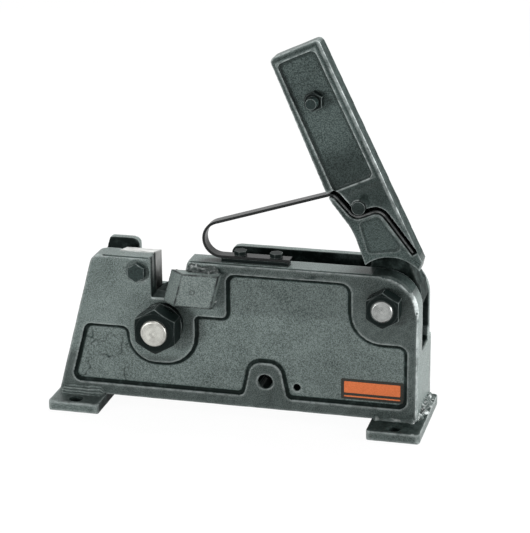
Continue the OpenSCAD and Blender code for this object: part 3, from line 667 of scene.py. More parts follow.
def press_cracks(mesh):
    points, normals, _, _ = mesh_arrays(mesh)
    here = np.full(len(points), True)
    for values, low, high in zip(body_coordinates(mesh), CRACK_LOW, CRACK_HIGH):
        here &= (values > low) & (values < high)
    path = lumps(points[here], PATH_SIZE, PATH_SEED)
    path += CURL_SHARE * lumps(points[here], CURL_SIZE, CURL_SEED)
    line = np.clip(1 - np.abs(path) / CRACK_WIDTH, 0, 1)
    line *= fade(lumps(points[here], TORN_SIZE, TORN_SEED), *TORN_RANGE)
    points[here] -= normals[here] * (CRACK_DEPTH * MM * line)[:, None]
    mesh.vertices.foreach_set("co", points.ravel())
    darkening = kept(mesh, "cavity")
    darkening[here] = np.maximum(darkening[here], CRACK_SHADE * line)
    keep_value(mesh, "cavity", darkening)
    return int((line > SHOWS).sum())


print("points in the cracks:", press_cracks(body_skin.data))

# %% [markdown]
# Painted shade is laid where the body lies in shade or under a cast shadow. Most places are soft
# boxes with a strength: the upper recess, the recess at the lever end, the shoulder under the lever,
# the notch and the gap floor behind the blade. The painted shadows round the nuts, the notch and the
# shoulder are rings with a centre, an inner and an outer reach and a strength. Each point of the
# casting keeps the strongest of them all.

# %% Painted shade on the body
SLOT_FRONT, SLOT_BACK = 28.0, 64.0
SHADED_BOXES = {
    "upper recess": (0.29, (("x", -21, -9), ("x", 148, 136), ("z", 116, 128), ("z", 171, 159),
                            ("y", 7, 5))),
    "recess at the lever end": (0.13, (("x", 30, 130), ("y", 7, 5))),
    "shoulder": (0.85, (("x", 138, 156), ("z", 150, 164), ("y", -0.2, 1.5), ("y", 29, 26))),
    "notch": (1.0, (("x", -101, -97), ("x", -60, -64), ("z", 128, 131), ("z", 160, 137), ("y", 1.5, 4))),
    "gap floor": (1.0, (("x", -129.5, -126.5), ("x", -19.5, -22.5), ("z", 128, 130), ("z", 137, 135),
                        ("y", SLOT_BACK - 3, SLOT_BACK)))}
SHADOW_RINGS = {"front nut": (-71, 113, 18, 34, 0.42), "rear nut": (173, 152, 14, 36, 0.45),
                "notch": (-80, 134, 4, 15, 0.5), "shoulder": (150, 180, 4, 34, 0.5)}
RING_DEPTH = (30, 20)


def ring_shadows(x, y, z):
    shade_and_dirt = np.zeros_like(x)
    for centre_x, centre_z, inner, outer, strength in SHADOW_RINGS.values():
        away = np.hypot(x - centre_x, z - centre_z)
        shade_and_dirt = np.maximum(shade_and_dirt, strength * fade(away, outer, inner))
    return shade_and_dirt * fade(y, *RING_DEPTH)


body_mesh = body_skin.data
x, y, z = body_coordinates(body_mesh)
body_points, body_normals, _, _ = mesh_arrays(body_mesh)
body_shade_and_dirt = [strength * soft_box(x, y, z, sides) for strength, sides in SHADED_BOXES.values()]
body_shade_and_dirt.append(ring_shadows(x, y, z))
print("greasy boxes and rings:", len(SHADED_BOXES), "and", len(SHADOW_RINGS))

# %% [markdown]
# Some places are not plain boxes. The slot, which leans with the tower and is open at the lever end,
# the rear wall, which steps up behind the blade, and the notch's own wall get painted shade, and that
# wall has a paler stripe. The rim round the recess is darker except on the tower, and the side that
# faces left gets painted shade all the way down. Streaks of dirt run along the top of the front.

# %% Slot, walls and rim of the body
SLOT_SIDES = (("y", SLOT_FRONT - 1, SLOT_FRONT + 1), ("y", SLOT_BACK + 1, SLOT_BACK - 1), ("z", 14, 18))
SLOT_MOUTH = (("x", 201, 204), ("z", 88, 84))
TOWER_LEFT, TOWER_LEAN, TOWER_WALL = -214, 0.268, (4, 7)
REAR_SIDES = (("y", SLOT_BACK - 3, SLOT_BACK - 1), ("y", SLOT_BACK + 3, SLOT_BACK + 1), ("z", 100, 104))
REAR_TOP, REAR_STEP, REAR_STEP_X, REAR_SOFT = 182, 14, (-88, -92), 1.5
WALL_SIDES = (("x", -100, -98), ("x", -95, -97), ("z", 134, 137), ("y", 0.8, 2.0))
WALL_SHADE, STRIPE_SHARE, STRIPE_Y, STRIPE_SOFT = 0.9, 0.45, (8, 13), 2.0
TOWER_SIDES = (("x", -8, -24), ("z", 58, 70))
RIM_SHADE, RIM_Y = 0.6, (2.4, 1.2)
LEFT_SHADE, LEFT_FACING = 0.6, (0.3, 0.7)
LEFT_SIDES = (("y", 6, 2), ("z", 172, 165))
STREAK_SIDES = (("x", -42, -18), ("x", 152, 128), ("z", 163, 169), ("z", 179, 173), ("y", 8, 4))
STREAK_STRETCH, STREAK_SIZE, STREAK_SEED = (0.3, 1, 1.6), 9.0, 4.4
STREAK_RANGE, STREAK_LEAST, STREAK_MORE = (-0.2, 0.4), 0.3, 0.6

slot = soft_box(x, y, z, SLOT_SIDES) * fade(x - TOWER_LEFT - TOWER_LEAN * z, *TOWER_WALL)
slot *= 1 - soft_box(x, y, z, SLOT_MOUTH)
rear_top = REAR_TOP + REAR_STEP * fade(x, *REAR_STEP_X)
rear_wall = soft_box(x, y, z, REAR_SIDES) * fade(z - rear_top, REAR_SOFT, -REAR_SOFT)
notch_wall = soft_box(x, y, z, WALL_SIDES)
notch_wall *= WALL_SHADE - STRIPE_SHARE * between(y, *STRIPE_Y, STRIPE_SOFT)
rim = RIM_SHADE * fade(y, *RIM_Y) * (1 - soft_box(x, y, z, TOWER_SIDES))
left_side = LEFT_SHADE * fade(-body_normals[:, 0], *LEFT_FACING) * soft_box(x, y, z, LEFT_SIDES)
streaked = fade(lumps(body_points * STREAK_STRETCH, STREAK_SIZE, STREAK_SEED), *STREAK_RANGE)
streaks = soft_box(x, y, z, STREAK_SIDES) * (STREAK_LEAST + STREAK_MORE * streaked)
body_shade_and_dirt += [slot, rear_wall, notch_wall, rim, left_side, streaks]
keep_value(body_mesh, "shade_and_dirt", np.maximum.reduce(body_shade_and_dirt))
print("mean dirt of the body:", round(float(kept(body_mesh, "shade_and_dirt").mean()), 2))

# %% [markdown]
# The edges of the body carry a little wear and painted highlight, and those in the slot, on the
# notch's wall and on the left side, which faces away from the light, hardly any. The corner at the
# lever end, the shoulder and the lip of the notch get a bright painted highlight line: there the
# surface turns from the front to a side, which its normals tell.

# %% Rubbed and highlighted edges of the body
EDGE_SHARE = 0.3
BOLT_X, BOLT_Z, BOLT_RING, BOLT_CLEAN = -112.5, 163.5, (16, 13), 0.8
DULL_WALL, DULL_SHARE = (("x", -101, -99), ("x", -93, -95), ("z", 136, 140)), 0.8
SLOT_EDGE, SLOT_SOFT = 0.5, 1.0
DULL_FACING, DULL_LEFT = (0.2, 0.5), (("z", 172, 165),)
TURNING = (0.15, 0.4)
END_X = (192, 198)
SHOULDER, SHOULDER_SHARE = (("x", 140, 160), ("z", 155, 170)), 0.5
NOTCH_LIP = (("x", -100, -98), ("x", -83, -85), ("z", 130.2, 131.8), ("z", 134.8, 133.2))
CHIP_SIZE, CHIP_SEED, CHIP_RANGE, CHIP_LEAST = 2.5, 9.1, (-0.05, 0.25), 0.2
LINE_Y = (6, 4)

# Less painted corner shade round the tower's bolt.
round_bolt = fade(np.hypot(x - BOLT_X, z - BOLT_Z), *BOLT_RING)
keep_value(body_mesh, "cavity", kept(body_mesh, "cavity") * (1 - BOLT_CLEAN * round_bolt))
wear_and_highlight_share = EDGE_SHARE * (1 - DULL_SHARE * soft_box(x, y, z, DULL_WALL))
wear_and_highlight_share *= 1 - between(y, SLOT_FRONT - SLOT_EDGE, SLOT_BACK + SLOT_EDGE, SLOT_SOFT)
wear_and_highlight_share *= 1 - fade(-body_normals[:, 0], *DULL_FACING) * soft_box(x, y, z, DULL_LEFT)
sideways = np.hypot(body_normals[:, 0], body_normals[:, 2])
round_over = fade(sideways, *TURNING) * fade(-body_normals[:, 1], *TURNING)
end_corner = np.maximum(fade(x, *END_X), SHOULDER_SHARE * soft_box(x, y, z, SHOULDER))
chips = fade(lumps(body_points, CHIP_SIZE, CHIP_SEED), *CHIP_RANGE)
notch_lip = soft_box(x, y, z, NOTCH_LIP) * (CHIP_LEAST + (1 - CHIP_LEAST) * chips)
painted_highlight_line = round_over * fade(y, *LINE_Y) * np.maximum(end_corner, notch_lip)
keep_value(body_mesh, "edge", np.maximum(kept(body_mesh, "edge") * wear_and_highlight_share, painted_highlight_line))
print("points on the bright lines:", int((painted_highlight_line > SHOWS).sum()))

# %% [markdown]
# The plate at the lever end has lost its two front corners to wear. Points that lie outside an arc
# at each corner are pulled back onto it, which rounds the corner without a new cut in the mesh.

# %% Worn corners of a foot
WORN_CORNER = 6.0


def wear_corners(mesh, node, radius_mm):
    """Rounds the two front corners of a plate by pulling points back onto an arc."""
    points = mesh_arrays(mesh)[0]
    low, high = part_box(node)
    radius = radius_mm * MM
    moved = 0
    for corner_x, inward in ((low[0], 1), (high[0], -1)):
        centre = np.array([corner_x + inward * radius, low[1] + radius])
        offset = points[:, :2] - centre
        away = np.linalg.norm(offset, axis=1)
        outside = (inward * offset[:, 0] < 0) & (offset[:, 1] < 0) & (away > radius)
        points[outside, :2] = centre + offset[outside] * (radius / away[outside])[:, None]
        moved += int(outside.sum())
    mesh.vertices.foreach_set("co", points.ravel())
    mesh.update()
    return moved


worn_points = wear_corners(right_foot.data, "right_foot_plate", WORN_CORNER)
print("points on the worn corners:", worn_points)

# %% [markdown]
# The tops of the foot plates carry a painted shadow of the body, strongest round their holes and
# under the body, and the side that faces inwards gets painted shade. Each plate has its own share of
# it on the top and on the inward side, and its front is a little darker.

# %% Painted shadow on the feet
FOOT_HOLE_X, FOOT_HOLE_Y, FOOT_HOLE_REACH, HOLE_SHADE = 183.5, -20.0, (9, 8), 0.9
FOOT_BORDER_X, FOOT_BORDER_Y, BORDER_SHARE = (-204, -194), (-36, -33), 0.2
FOOT_TOP_Z, INWARD_FACING, INWARD_Y = (10.5, 11.5), (0.6, 0.9), (-40, -24)
FOOT_SHADOW = {left_foot: {"side": -1, "top_shadow": 0.6, "front_darkening": 0.12, "inner_shade": 1.0},
             right_foot: {"side": 1, "top_shadow": 0.88, "front_darkening": 0.4, "inner_shade": 0.3}}


def foot_shadow(mesh, side, top_shadow, front_darkening, inner_shade):
    x, y, z = body_coordinates(mesh)
    around_hole = fade(np.hypot(x - side * FOOT_HOLE_X, y - FOOT_HOLE_Y), *FOOT_HOLE_REACH)
    in_body_shadow = fade(x, *FOOT_BORDER_X) * fade(y, *FOOT_BORDER_Y)
    top = top_shadow * fade(z, *FOOT_TOP_Z) * (BORDER_SHARE + (1 - BORDER_SHARE) * in_body_shadow)
    inner = inner_shade * fade(-side * mesh_arrays(mesh)[1][:, 0], *INWARD_FACING) * fade(y, *INWARD_Y)
    shade_and_dirt = np.maximum.reduce([top, inner, HOLE_SHADE * around_hole, np.full_like(x, front_darkening)])
    return shade_and_dirt, EDGE_SHARE * (1 - around_hole)


for foot, shares in FOOT_SHADOW.items():
    shade_and_dirt, wear_and_highlight_share = foot_shadow(foot.data, **shares)
    keep_value(foot.data, "shade_and_dirt", shade_and_dirt)
    keep_value(foot.data, "edge", kept(foot.data, "edge") * wear_and_highlight_share)
    print(foot.name, "mean dirt", round(float(shade_and_dirt.mean()), 2))

# %% [markdown]
# The lever's panel has a rounded lip, because the pattern maker let the rim slope away from it.
# The rim's points are moved back with their distance from the panel. All of this is worked out in
# the lever's own coordinates, in which it stands upright on the rear pin.

# %% Lip of the lever's panel
LEVER_LEAN = math.radians(24.5)
LEVER_FRONT, LEVER_BACK = 4.0, 26.0
PANEL_LEFT, PANEL_FOOT, PANEL_HEAD = -2.5, 136.5, 285.0
PANEL_RIGHT_LOW, PANEL_RIGHT_HIGH = 44.5, 41.5
LIP_DROP, LIP_REACH = 1.2, (2.0, 6.0)
LIP_FACE_Y, LIP_FACE_Z = (LEVER_FRONT + 4, LEVER_FRONT + 1), (122.0, 132.0)


def lever_coordinates(mesh):
    x, y, z = body_coordinates(mesh)
    x, z = x - REAR_PIN.x / MM, z - REAR_PIN.z / MM
    c, s = math.cos(LEVER_LEAN), math.sin(LEVER_LEAN)
    return c * x + s * z, y, c * z - s * x


lever_mesh = lever_skin.data
x, y, z = lever_coordinates(lever_mesh)
lever_points, lever_normals, _, _ = mesh_arrays(lever_mesh)
height_share = (z - PANEL_FOOT) / (PANEL_HEAD - PANEL_FOOT)
panel_right = PANEL_RIGHT_LOW + (PANEL_RIGHT_HIGH - PANEL_RIGHT_LOW) * height_share
from_panel = np.maximum.reduce([PANEL_LEFT - x, x - panel_right, PANEL_FOOT - z, z - PANEL_HEAD])
lever_face = fade(y, *LIP_FACE_Y) * fade(z, *LIP_FACE_Z)
lever_points[:, 1] += LIP_DROP * MM * fade(from_panel, *LIP_REACH) * lever_face
lever_mesh.vertices.foreach_set("co", lever_points.ravel())
print("points on the sloping rim:", int((lever_face > SHOWS).sum()))

# %% [markdown]
# Hands and the handle rub the lever's edges, and the edges also carry a painted highlight. The lip
# is worn a little and painted lighter, the edges low down less, and the long corner on the right
# gets a bright painted highlight, with a paler painted band beside it on the front.

# %% Rubbed and highlighted edges of the lever
LEVER_EDGES, LOW_EDGES, LOW_EDGES_Z = 0.62, 0.5, (100, 120)
LIP_BRIGHT, LIP_BAND, LIP_SOFT = 0.32, (0.2, 2.0), 0.6
RIGHT_TURN, FRONT_TURN, RIGHT_X = (0.06, 0.25), (0.15, 0.35), (45.5, 48.0)
RIGHT_EDGE_Z, RIGHT_EDGE_X = (30.6, 288.1), (56.0, 50.6)
RIGHT_BAND, BAND_SOFT, BAND_SHARE = (0.5, 3.6), 0.7, 0.4
RIGHT_SIDES = (("z", 60, 90), ("y", 12, 10))

facing_right = math.cos(LEVER_LEAN) * lever_normals[:, 0] + math.sin(LEVER_LEAN) * lever_normals[:, 2]
edge_wear_and_highlight = LEVER_EDGES * kept(lever_mesh, "edge") * (LOW_EDGES + (1 - LOW_EDGES) * fade(z, *LOW_EDGES_Z))
lip = LIP_BRIGHT * between(from_panel, *LIP_BAND, LIP_SOFT) * lever_face
right_highlight = fade(facing_right, *RIGHT_TURN) * fade(-lever_normals[:, 1], *FRONT_TURN) * fade(x, *RIGHT_X)
from_right = np.interp(z, RIGHT_EDGE_Z, RIGHT_EDGE_X) - x
right_highlight = np.maximum(right_highlight, BAND_SHARE * between(from_right, *RIGHT_BAND, BAND_SOFT))
right_highlight *= soft_box(x, y, z, RIGHT_SIDES)
keep_value(lever_mesh, "edge", np.maximum.reduce([edge_wear_and_highlight, lip, right_highlight]))
print("points on the right corner:", int((right_highlight > SHOWS).sum()))

# %% [markdown]
# Painted shade darkens the slope behind the lip, the side that faces right and the place behind the
# pin, where it is the pin's painted shadow. The foot of the panel and the web are darker towards the
# bottom. The web below the groove is mottled, and the hub that turns in the slot is painted black
# with shade.

# %% Painted shade on the lever
LEVER_CORNERS = 0.5
SLOPE_SHADE, SLOPE_BAND, SLOPE_SOFT = 0.5, (3.5, 6.0), 0.8
FOOT_SHADE, FOOT_SHADE_Z, FOOT_SHADE_REACH, FOOT_SHADE_Y = 0.6, 135, (60, 20), (26, 20)
WEB_SHADE, WEB_SHADE_Z = 0.14, (120, 90)
PIN_X, PIN_Z, PIN_SHADE, PIN_REACH, PIN_Y = 25.0, 116.0, 1.0, (11, 4), (14, 10)
MOTTLE, MOTTLE_SIZE, MOTTLE_SEED, MOTTLE_RANGE, MOTTLE_Z = 0.5, 2.1, 3.3, (0.0, 0.5), (115, 90)
HUB_SIDES = (("y", LEVER_BACK + 1, LEVER_BACK + 2), ("z", 60, 50))
SIDE_SHADE, SIDE_FACING = 0.84, (0.85, 0.97)
SIDE_SIDES = (("z", 20, 40), ("y", LEVER_BACK + 1, LEVER_BACK))

slope = SLOPE_SHADE * between(from_panel, *SLOPE_BAND, SLOPE_SOFT) * lever_face
panel_foot = FOOT_SHADE * fade(np.abs(z - FOOT_SHADE_Z), *FOOT_SHADE_REACH) * fade(y, *FOOT_SHADE_Y)
web = WEB_SHADE * fade(z, *WEB_SHADE_Z)
behind_pin = PIN_SHADE * fade(np.hypot(x - PIN_X, z - PIN_Z), *PIN_REACH) * fade(y, *PIN_Y)
mottle = MOTTLE * fade(lumps(lever_points, MOTTLE_SIZE, MOTTLE_SEED), *MOTTLE_RANGE) * fade(z, *MOTTLE_Z)
hub = soft_box(x, y, z, HUB_SIDES)
right_side = SIDE_SHADE * fade(facing_right, *SIDE_FACING) * soft_box(x, y, z, SIDE_SIDES)
lever_shade_and_mottle = np.maximum.reduce([slope, panel_foot, web, behind_pin, mottle, hub, right_side])
keep_value(lever_mesh, "shade_and_dirt", lever_shade_and_mottle)
keep_value(lever_mesh, "cavity", LEVER_CORNERS * kept(lever_mesh, "cavity"))
print("mean dirt of the lever:", round(float(lever_shade_and_mottle.mean()), 2))

# %% [markdown]
# The groove is wider than the strip that slides in it, but its mouth was dressed tight, so that the
# lever's left rim runs on down to the strip. The wall above the strip is pulled down there, the
# groove's floor shrinks with it, and the rim above stretches over a few millimetres.

# %% Mouth of the lever's groove
MOUTH_LEFT, MOUTH_RIGHT, MOUTH_BLEND = -11.9, -1.8, 1.2
MOUTH_LOW, MOUTH_TOP, STRETCH = 132.5, 136.6, 9.0
WALL_TOP, WALL_FALL = 140.9, 3.9


def close_mouth(mesh):
    x, _, z = lever_coordinates(mesh)
    share = np.clip((x - MOUTH_LEFT) / (MOUTH_RIGHT - MOUTH_LEFT), 0, 1)
    wall = WALL_TOP - WALL_FALL * share ** 2
    drop = np.maximum(wall - MOUTH_TOP, 0) * fade(x, MOUTH_RIGHT, MOUTH_RIGHT - MOUTH_BLEND)
    below = np.clip((z - MOUTH_LOW) / (wall - MOUTH_LOW), 0, 1)
    move = drop * below * fade(z - wall, STRETCH, 0)
    points = mesh_arrays(mesh)[0]
    points[:, 0] += math.sin(LEVER_LEAN) * MM * move
    points[:, 2] -= math.cos(LEVER_LEAN) * MM * move
    mesh.vertices.foreach_set("co", points.ravel())
    mesh.update()
    return int((move > SHOWS).sum())


print("points moved at the mouth:", close_mouth(lever_mesh))

# %% [markdown]
# Where the painted shade and grease are darkest the paint must have no gloss left. Those faces of
# the castings and the feet get a dull finish of their own, chosen by the mean of the darkening at
# their corners. The arm works deep in the slot, so its painted shade is the blackest.

# %% Dull faces in painted shade
DULL_FROM, CORNER_WEIGHT = 0.8, 1.5
ARM_SHADE, ARM_SHADE_Z = 0.97, (150, 142)


def face_numbers(mesh_part, name):
    numbers = np.empty(len(mesh_part), int)
    mesh_part.foreach_get(name, numbers)
    return numbers


def dull_shaded_faces(mesh, finish):
    darkening = np.maximum(kept(mesh, "shade_and_dirt"), CORNER_WEIGHT * kept(mesh, "cavity"))
    corner_points = face_numbers(mesh.loops, "vertex_index")
    starts = face_numbers(mesh.polygons, "loop_start")
    sizes = face_numbers(mesh.polygons, "loop_total")
    thick = np.add.reduceat(darkening[corner_points], starts) / sizes > DULL_FROM
    mesh.materials.append(finish)
    mesh.polygons.foreach_set("material_index", thick.astype(np.int32))
    return int(thick.sum())


arm_height = body_coordinates(arm_skin.data)[2]
keep_value(arm_skin.data, "shade_and_dirt", ARM_SHADE * fade(arm_height, *ARM_SHADE_Z))
for skin in (body_skin, lever_skin, arm_skin, left_foot, right_foot):
    dull_finish = black_shade_iron if skin == arm_skin else shaded_iron
    print(skin.name, "greasy faces:", dull_shaded_faces(skin.data, dull_finish))

# %% [markdown]
# Nuts, bolts, pins and blades are machined, so their faces stay true and only their edges are
# eased. The same even remesh does it with much finer voxels, few passes and no lumps at all, and it
# also finds the edges that are rubbed bright and carry a painted highlight. The fixed blade's end in
# the notch gets painted shade, less towards its top. The moving blade is painted dark with the shade
# of the notch and the strip's pin is darkened, and the bright edges of these two are dimmed with
# them.

# %% Eased machined pieces
EASED_VOXELS = {"front_pivot_nut": 0.5, "front_pivot_collar": 0.6, "rear_pivot_nut": 0.45,
                "front_pivot_pin": 0.6, "rear_pivot_pin": 0.5, "fixed_blade": 0.5, "fixed_blade_bolt": 0.4,
                "handle_bolt": 0.35, "handle_nut": 0.35, "spring_screws": 0.35, "spring_packing": 0.4,
                "strip_pin": 0.4, "moving_blade": 0.5}
EASING_PASSES = 3
BLADE_END_X, BLADE_SHADE, BLADE_LESS_SHADE, BLADE_LESS_SHADE_Z = (-99, -98), 0.98, 0.4, (146, 176)
DARKENED = {"moving_blade": 0.97, "strip_pin": 0.8}
DARK_HIDES_EDGES = 0.7
eased = {}
for node, voxel in EASED_VOXELS.items():
    eased[node] = cast_skin(node, node + "_eased", voxel, EASING_PASSES)
blade_mesh = eased["fixed_blade"].data
blade_x, _, blade_z = body_coordinates(blade_mesh)
blade_shade = fade(blade_x, *BLADE_END_X) * (BLADE_SHADE - BLADE_LESS_SHADE * fade(blade_z, *BLADE_LESS_SHADE_Z))
keep_value(blade_mesh, "shade_and_dirt", blade_shade)
for node, darkness in DARKENED.items():
    darkened_mesh = eased[node].data
    keep_value(darkened_mesh, "shade_and_dirt", np.full(len(darkened_mesh.vertices), darkness))
    keep_value(darkened_mesh, "edge", (1 - DARK_HIDES_EDGES * darkness) * kept(darkened_mesh, "edge"))

# %% [markdown]
# The stop block bears the mark of a round punch, a shallow ring pressed into its front. Moving the
# points back is enough for so small a mark, and the ring gets painted shade. The block's own edges
# are worn dark where bars knock against it.

# %% Punch mark on the stop block
PUNCH_X, PUNCH_Z, PUNCH_Y = -45.0, 148.9, (-13.0, -14.0)
PUNCH_RING, PUNCH_SOFT, PUNCH_DEPTH, PUNCH_SHADE = (1.8, 3.4), 0.6, 0.5, 0.5
BLOCK_EDGES = 2.0
block_mesh = stop_skin.data
block_points = mesh_arrays(block_mesh)[0]
x, y, z = body_coordinates(block_mesh)
pressed = between(np.hypot(x - PUNCH_X, z - PUNCH_Z), *PUNCH_RING, PUNCH_SOFT) * fade(y, *PUNCH_Y)
block_points[:, 1] += PUNCH_DEPTH * MM * pressed
block_mesh.vertices.foreach_set("co", block_points.ravel())
keep_value(block_mesh, "cavity", np.maximum(kept(block_mesh, "cavity"), PUNCH_SHADE * pressed))
keep_value(block_mesh, "edge", BLOCK_EDGES * kept(block_mesh, "edge"))
print("points in the punch mark:", int((pressed > SHOWS).sum()))

# %% [markdown]
# The return spring is a flat strip bent into a hairpin. A smith bends such a strip over round
# formers, so its middle line is made of straight runs and arcs only. These helpers give the points
# of a run, of an arc, and of the arc that rounds the corner between two runs.

# %% Straights, arcs and fillets


def polar(centre, radius, degrees):
    a = math.radians(degrees)
    return np.array([centre[0] + radius * math.cos(a), centre[1] + radius * math.sin(a)])


def fillet(a, b, c, radius, steps=10):
    """Points on the arc that rounds the corner a, b, c."""
    u = (a - b) / np.linalg.norm(a - b)
    w = (c - b) / np.linalg.norm(c - b)
    half = math.acos(float(u @ w)) / 2
    centre = b + (u + w) / np.linalg.norm(u + w) * radius / math.sin(half)
    p = b + u * radius / math.tan(half) - centre
    q = b + w * radius / math.tan(half) - centre
    start = math.degrees(math.atan2(p[1], p[0]))
    sweep = (math.degrees(math.atan2(q[1], q[0])) - start + 540) % 360 - 180
    return [polar(centre, radius, start + sweep * i / steps) for i in range(steps + 1)]


def straight(a, b, step_mm):
    count = max(1, int(np.linalg.norm(b - a) / step_mm))
    return [a + (b - a) * i / count for i in range(count)]


# %% [markdown]
# The route starts under the screws, runs to the blade end, makes a half turn and comes back along a
# sloping leg. Three bends with given radii then lead it into the lever's groove. They are given in
# the lever's coordinates, because the groove goes with the lever.

# %% Route of the spring
STRIP_T, STRIP_W, STRIP_Y = 3.0, 14.0, 8.0
STRIP_SLOPE = math.radians(17.5)
STRIP_LEFT, STRIP_END, STRIP_Z = -39.0, 60.0, 185.5
STRIP_BENDS = ((-5, 133), (6, 100), (36, 99.5), (50, 42))
STRIP_RADII = (9, 11, 12)
HAIRPIN_STEPS, LEG_STEP, UPPER_STEP = 30, 4, 3
sin_s, cos_s = math.sin(STRIP_SLOPE), math.cos(STRIP_SLOPE)
sin_l, cos_l = math.sin(LEVER_LEAN), math.cos(LEVER_LEAN)
rear_point = np.array([REAR_PIN.x, REAR_PIN.z]) / MM
lean = np.array([[cos_l, -sin_l], [sin_l, cos_l]])
bends = [rear_point + lean @ np.array(p, float) for p in STRIP_BENDS]
leg_normal = np.array([-sin_s, cos_s])
hairpin_left = STRIP_LEFT + STRIP_T / 2
hairpin_reach = leg_normal @ bends[0] + sin_s * hairpin_left - cos_s * STRIP_Z
hairpin_r = hairpin_reach / (1 + cos_s - sin_s)
hairpin = np.array([hairpin_left + hairpin_r, STRIP_Z + hairpin_r])
leg_start = hairpin + hairpin_r * leg_normal
half_turn = 180 - math.degrees(STRIP_SLOPE)
hairpin_angles = [270 - half_turn * i / HAIRPIN_STEPS for i in range(HAIRPIN_STEPS + 1)]
hairpin_points = [polar(hairpin, hairpin_r, angle) for angle in hairpin_angles]
first_bend = fillet(leg_start, bends[0], bends[1], STRIP_RADII[0])
route = straight(np.array([STRIP_END, STRIP_Z]), hairpin_points[0], LEG_STEP) + hairpin_points[:-1]
route += straight(hairpin_points[-1], first_bend[0], UPPER_STEP) + first_bend
route += fillet(bends[0], bends[1], bends[2], STRIP_RADII[1])
route += fillet(bends[1], bends[2], bends[3], STRIP_RADII[2])
route += straight(route[-1], bends[3], LEG_STEP)[1:] + [bends[3]]
print("spring stations:", len(route))

# %% [markdown]
# Some pieces have no solid behind them, or a better form than their solid, and are built from
# points and faces. One helper makes the object, turns its faces outwards and keeps the edges sharp
# beyond an angle. Another joins rings of points to a closed tube.

# %% New pieces and tubes
SMOOTH_ANGLE = 40


def new_piece(name, verts, faces, finish, smooth_angle=SMOOTH_ANGLE):
    mesh = bpy.data.meshes.new(name)
    mesh.from_pydata(verts, [], faces)
    shape = bmesh.new()
    shape.from_mesh(mesh)
    bmesh.ops.recalc_face_normals(shape, faces=shape.faces)
    shape.to_mesh(mesh)
    shape.free()
    mesh.shade_smooth()
    mesh.set_sharp_from_angle(angle=math.radians(smooth_angle))
    mesh.materials.append(finish)
    piece = bpy.data.objects.new(name, mesh)
    scene.collection.objects.link(piece)
    return piece


def tube_faces(stations, ring):
    """Faces of a closed tube: rings of points joined to the next ring, and a cap at each end."""
    faces = []
    for i in range(stations - 1):
        for k in range(ring):
            a, b = i * ring + k, i * ring + (k + 1) % ring
            faces.append((a, b, b + ring, a + ring))
    last = (stations - 1) * ring
    return faces + [tuple(range(ring - 1, -1, -1)), tuple(last + k for k in range(ring))]


# %% [markdown]
# The strip is swept along its route as a mesh of its own, with small chamfers, and a painted
# highlight runs along its lower front edge inside the groove. The upper leg slides in the groove
# when the lever comes down.

# %% Swept spring strip
CHAMFER = 0.5
half_w, half_t = STRIP_W / 2, STRIP_T / 2
strip_section = [(-half_w + CHAMFER, -half_t), (half_w - CHAMFER, -half_t), (half_w, -half_t + CHAMFER),
                 (half_w, half_t - CHAMFER), (half_w - CHAMFER, half_t), (-half_w + CHAMFER, half_t),
                 (-half_w, half_t - CHAMFER), (-half_w, -half_t + CHAMFER)]
strip_verts, strip_highlight = [], []
for i, point in enumerate(route):
    ahead = route[min(i + 1, len(route) - 1)] - route[max(i - 1, 0)]
    across = np.array([-ahead[1], ahead[0]]) / np.linalg.norm(ahead)
    for y, t in strip_section:
        x, z = point + across * t
        strip_verts.append(at(x, STRIP_Y + half_w + y, z))
        strip_highlight.append(float(y < 0 and t < 0 and point[0] > bends[0][0]))
strip_faces = tube_faces(len(route), len(strip_section))
spring_strip = new_piece("spring_strip", strip_verts, strip_faces, spring_steel)
keep_value(spring_strip.data, "edge", np.array(strip_highlight))
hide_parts("return_spring")
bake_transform(spring_strip)
print("spring faces:", len(strip_faces))

# %% [markdown]
# Hand-laid welds fill a corner with metal. A bead is lofted along its line from quarter-round
# sections. Its ends taper, or swell where the arc stopped, its height wanders with slow noise, and a
# bead of several passes shows them as ridges with valleys between them. The valleys and the hollows
# between lumps get painted shade, and the crests get painted highlights.

# %% Weld bead
SECTION_STEPS = 20
STATIONS_PER_MM = 1.6
WANDER_MM, WANDER_SHIFT = 12.0, 0.06
MEAN_SIZE, END_TAPER, END_SIZE, END_SWELL = 0.9, 8.0, 0.4, (0.2, 0)
RIDGE_DEPTH, SECTION_FLAT = 0.10, 0.16
VALLEY_GAIN, VALLEY_START, VALLEY_SHADE = 6.0, 0.2, 0.8
CREST_GAIN, CREST_START, RIDGE_START = 8.0, 0.6, 0.5
WELD_SMOOTH_ANGLE = 80
WANDER_ROW, LUMP_ROW = 0.5, 2.0


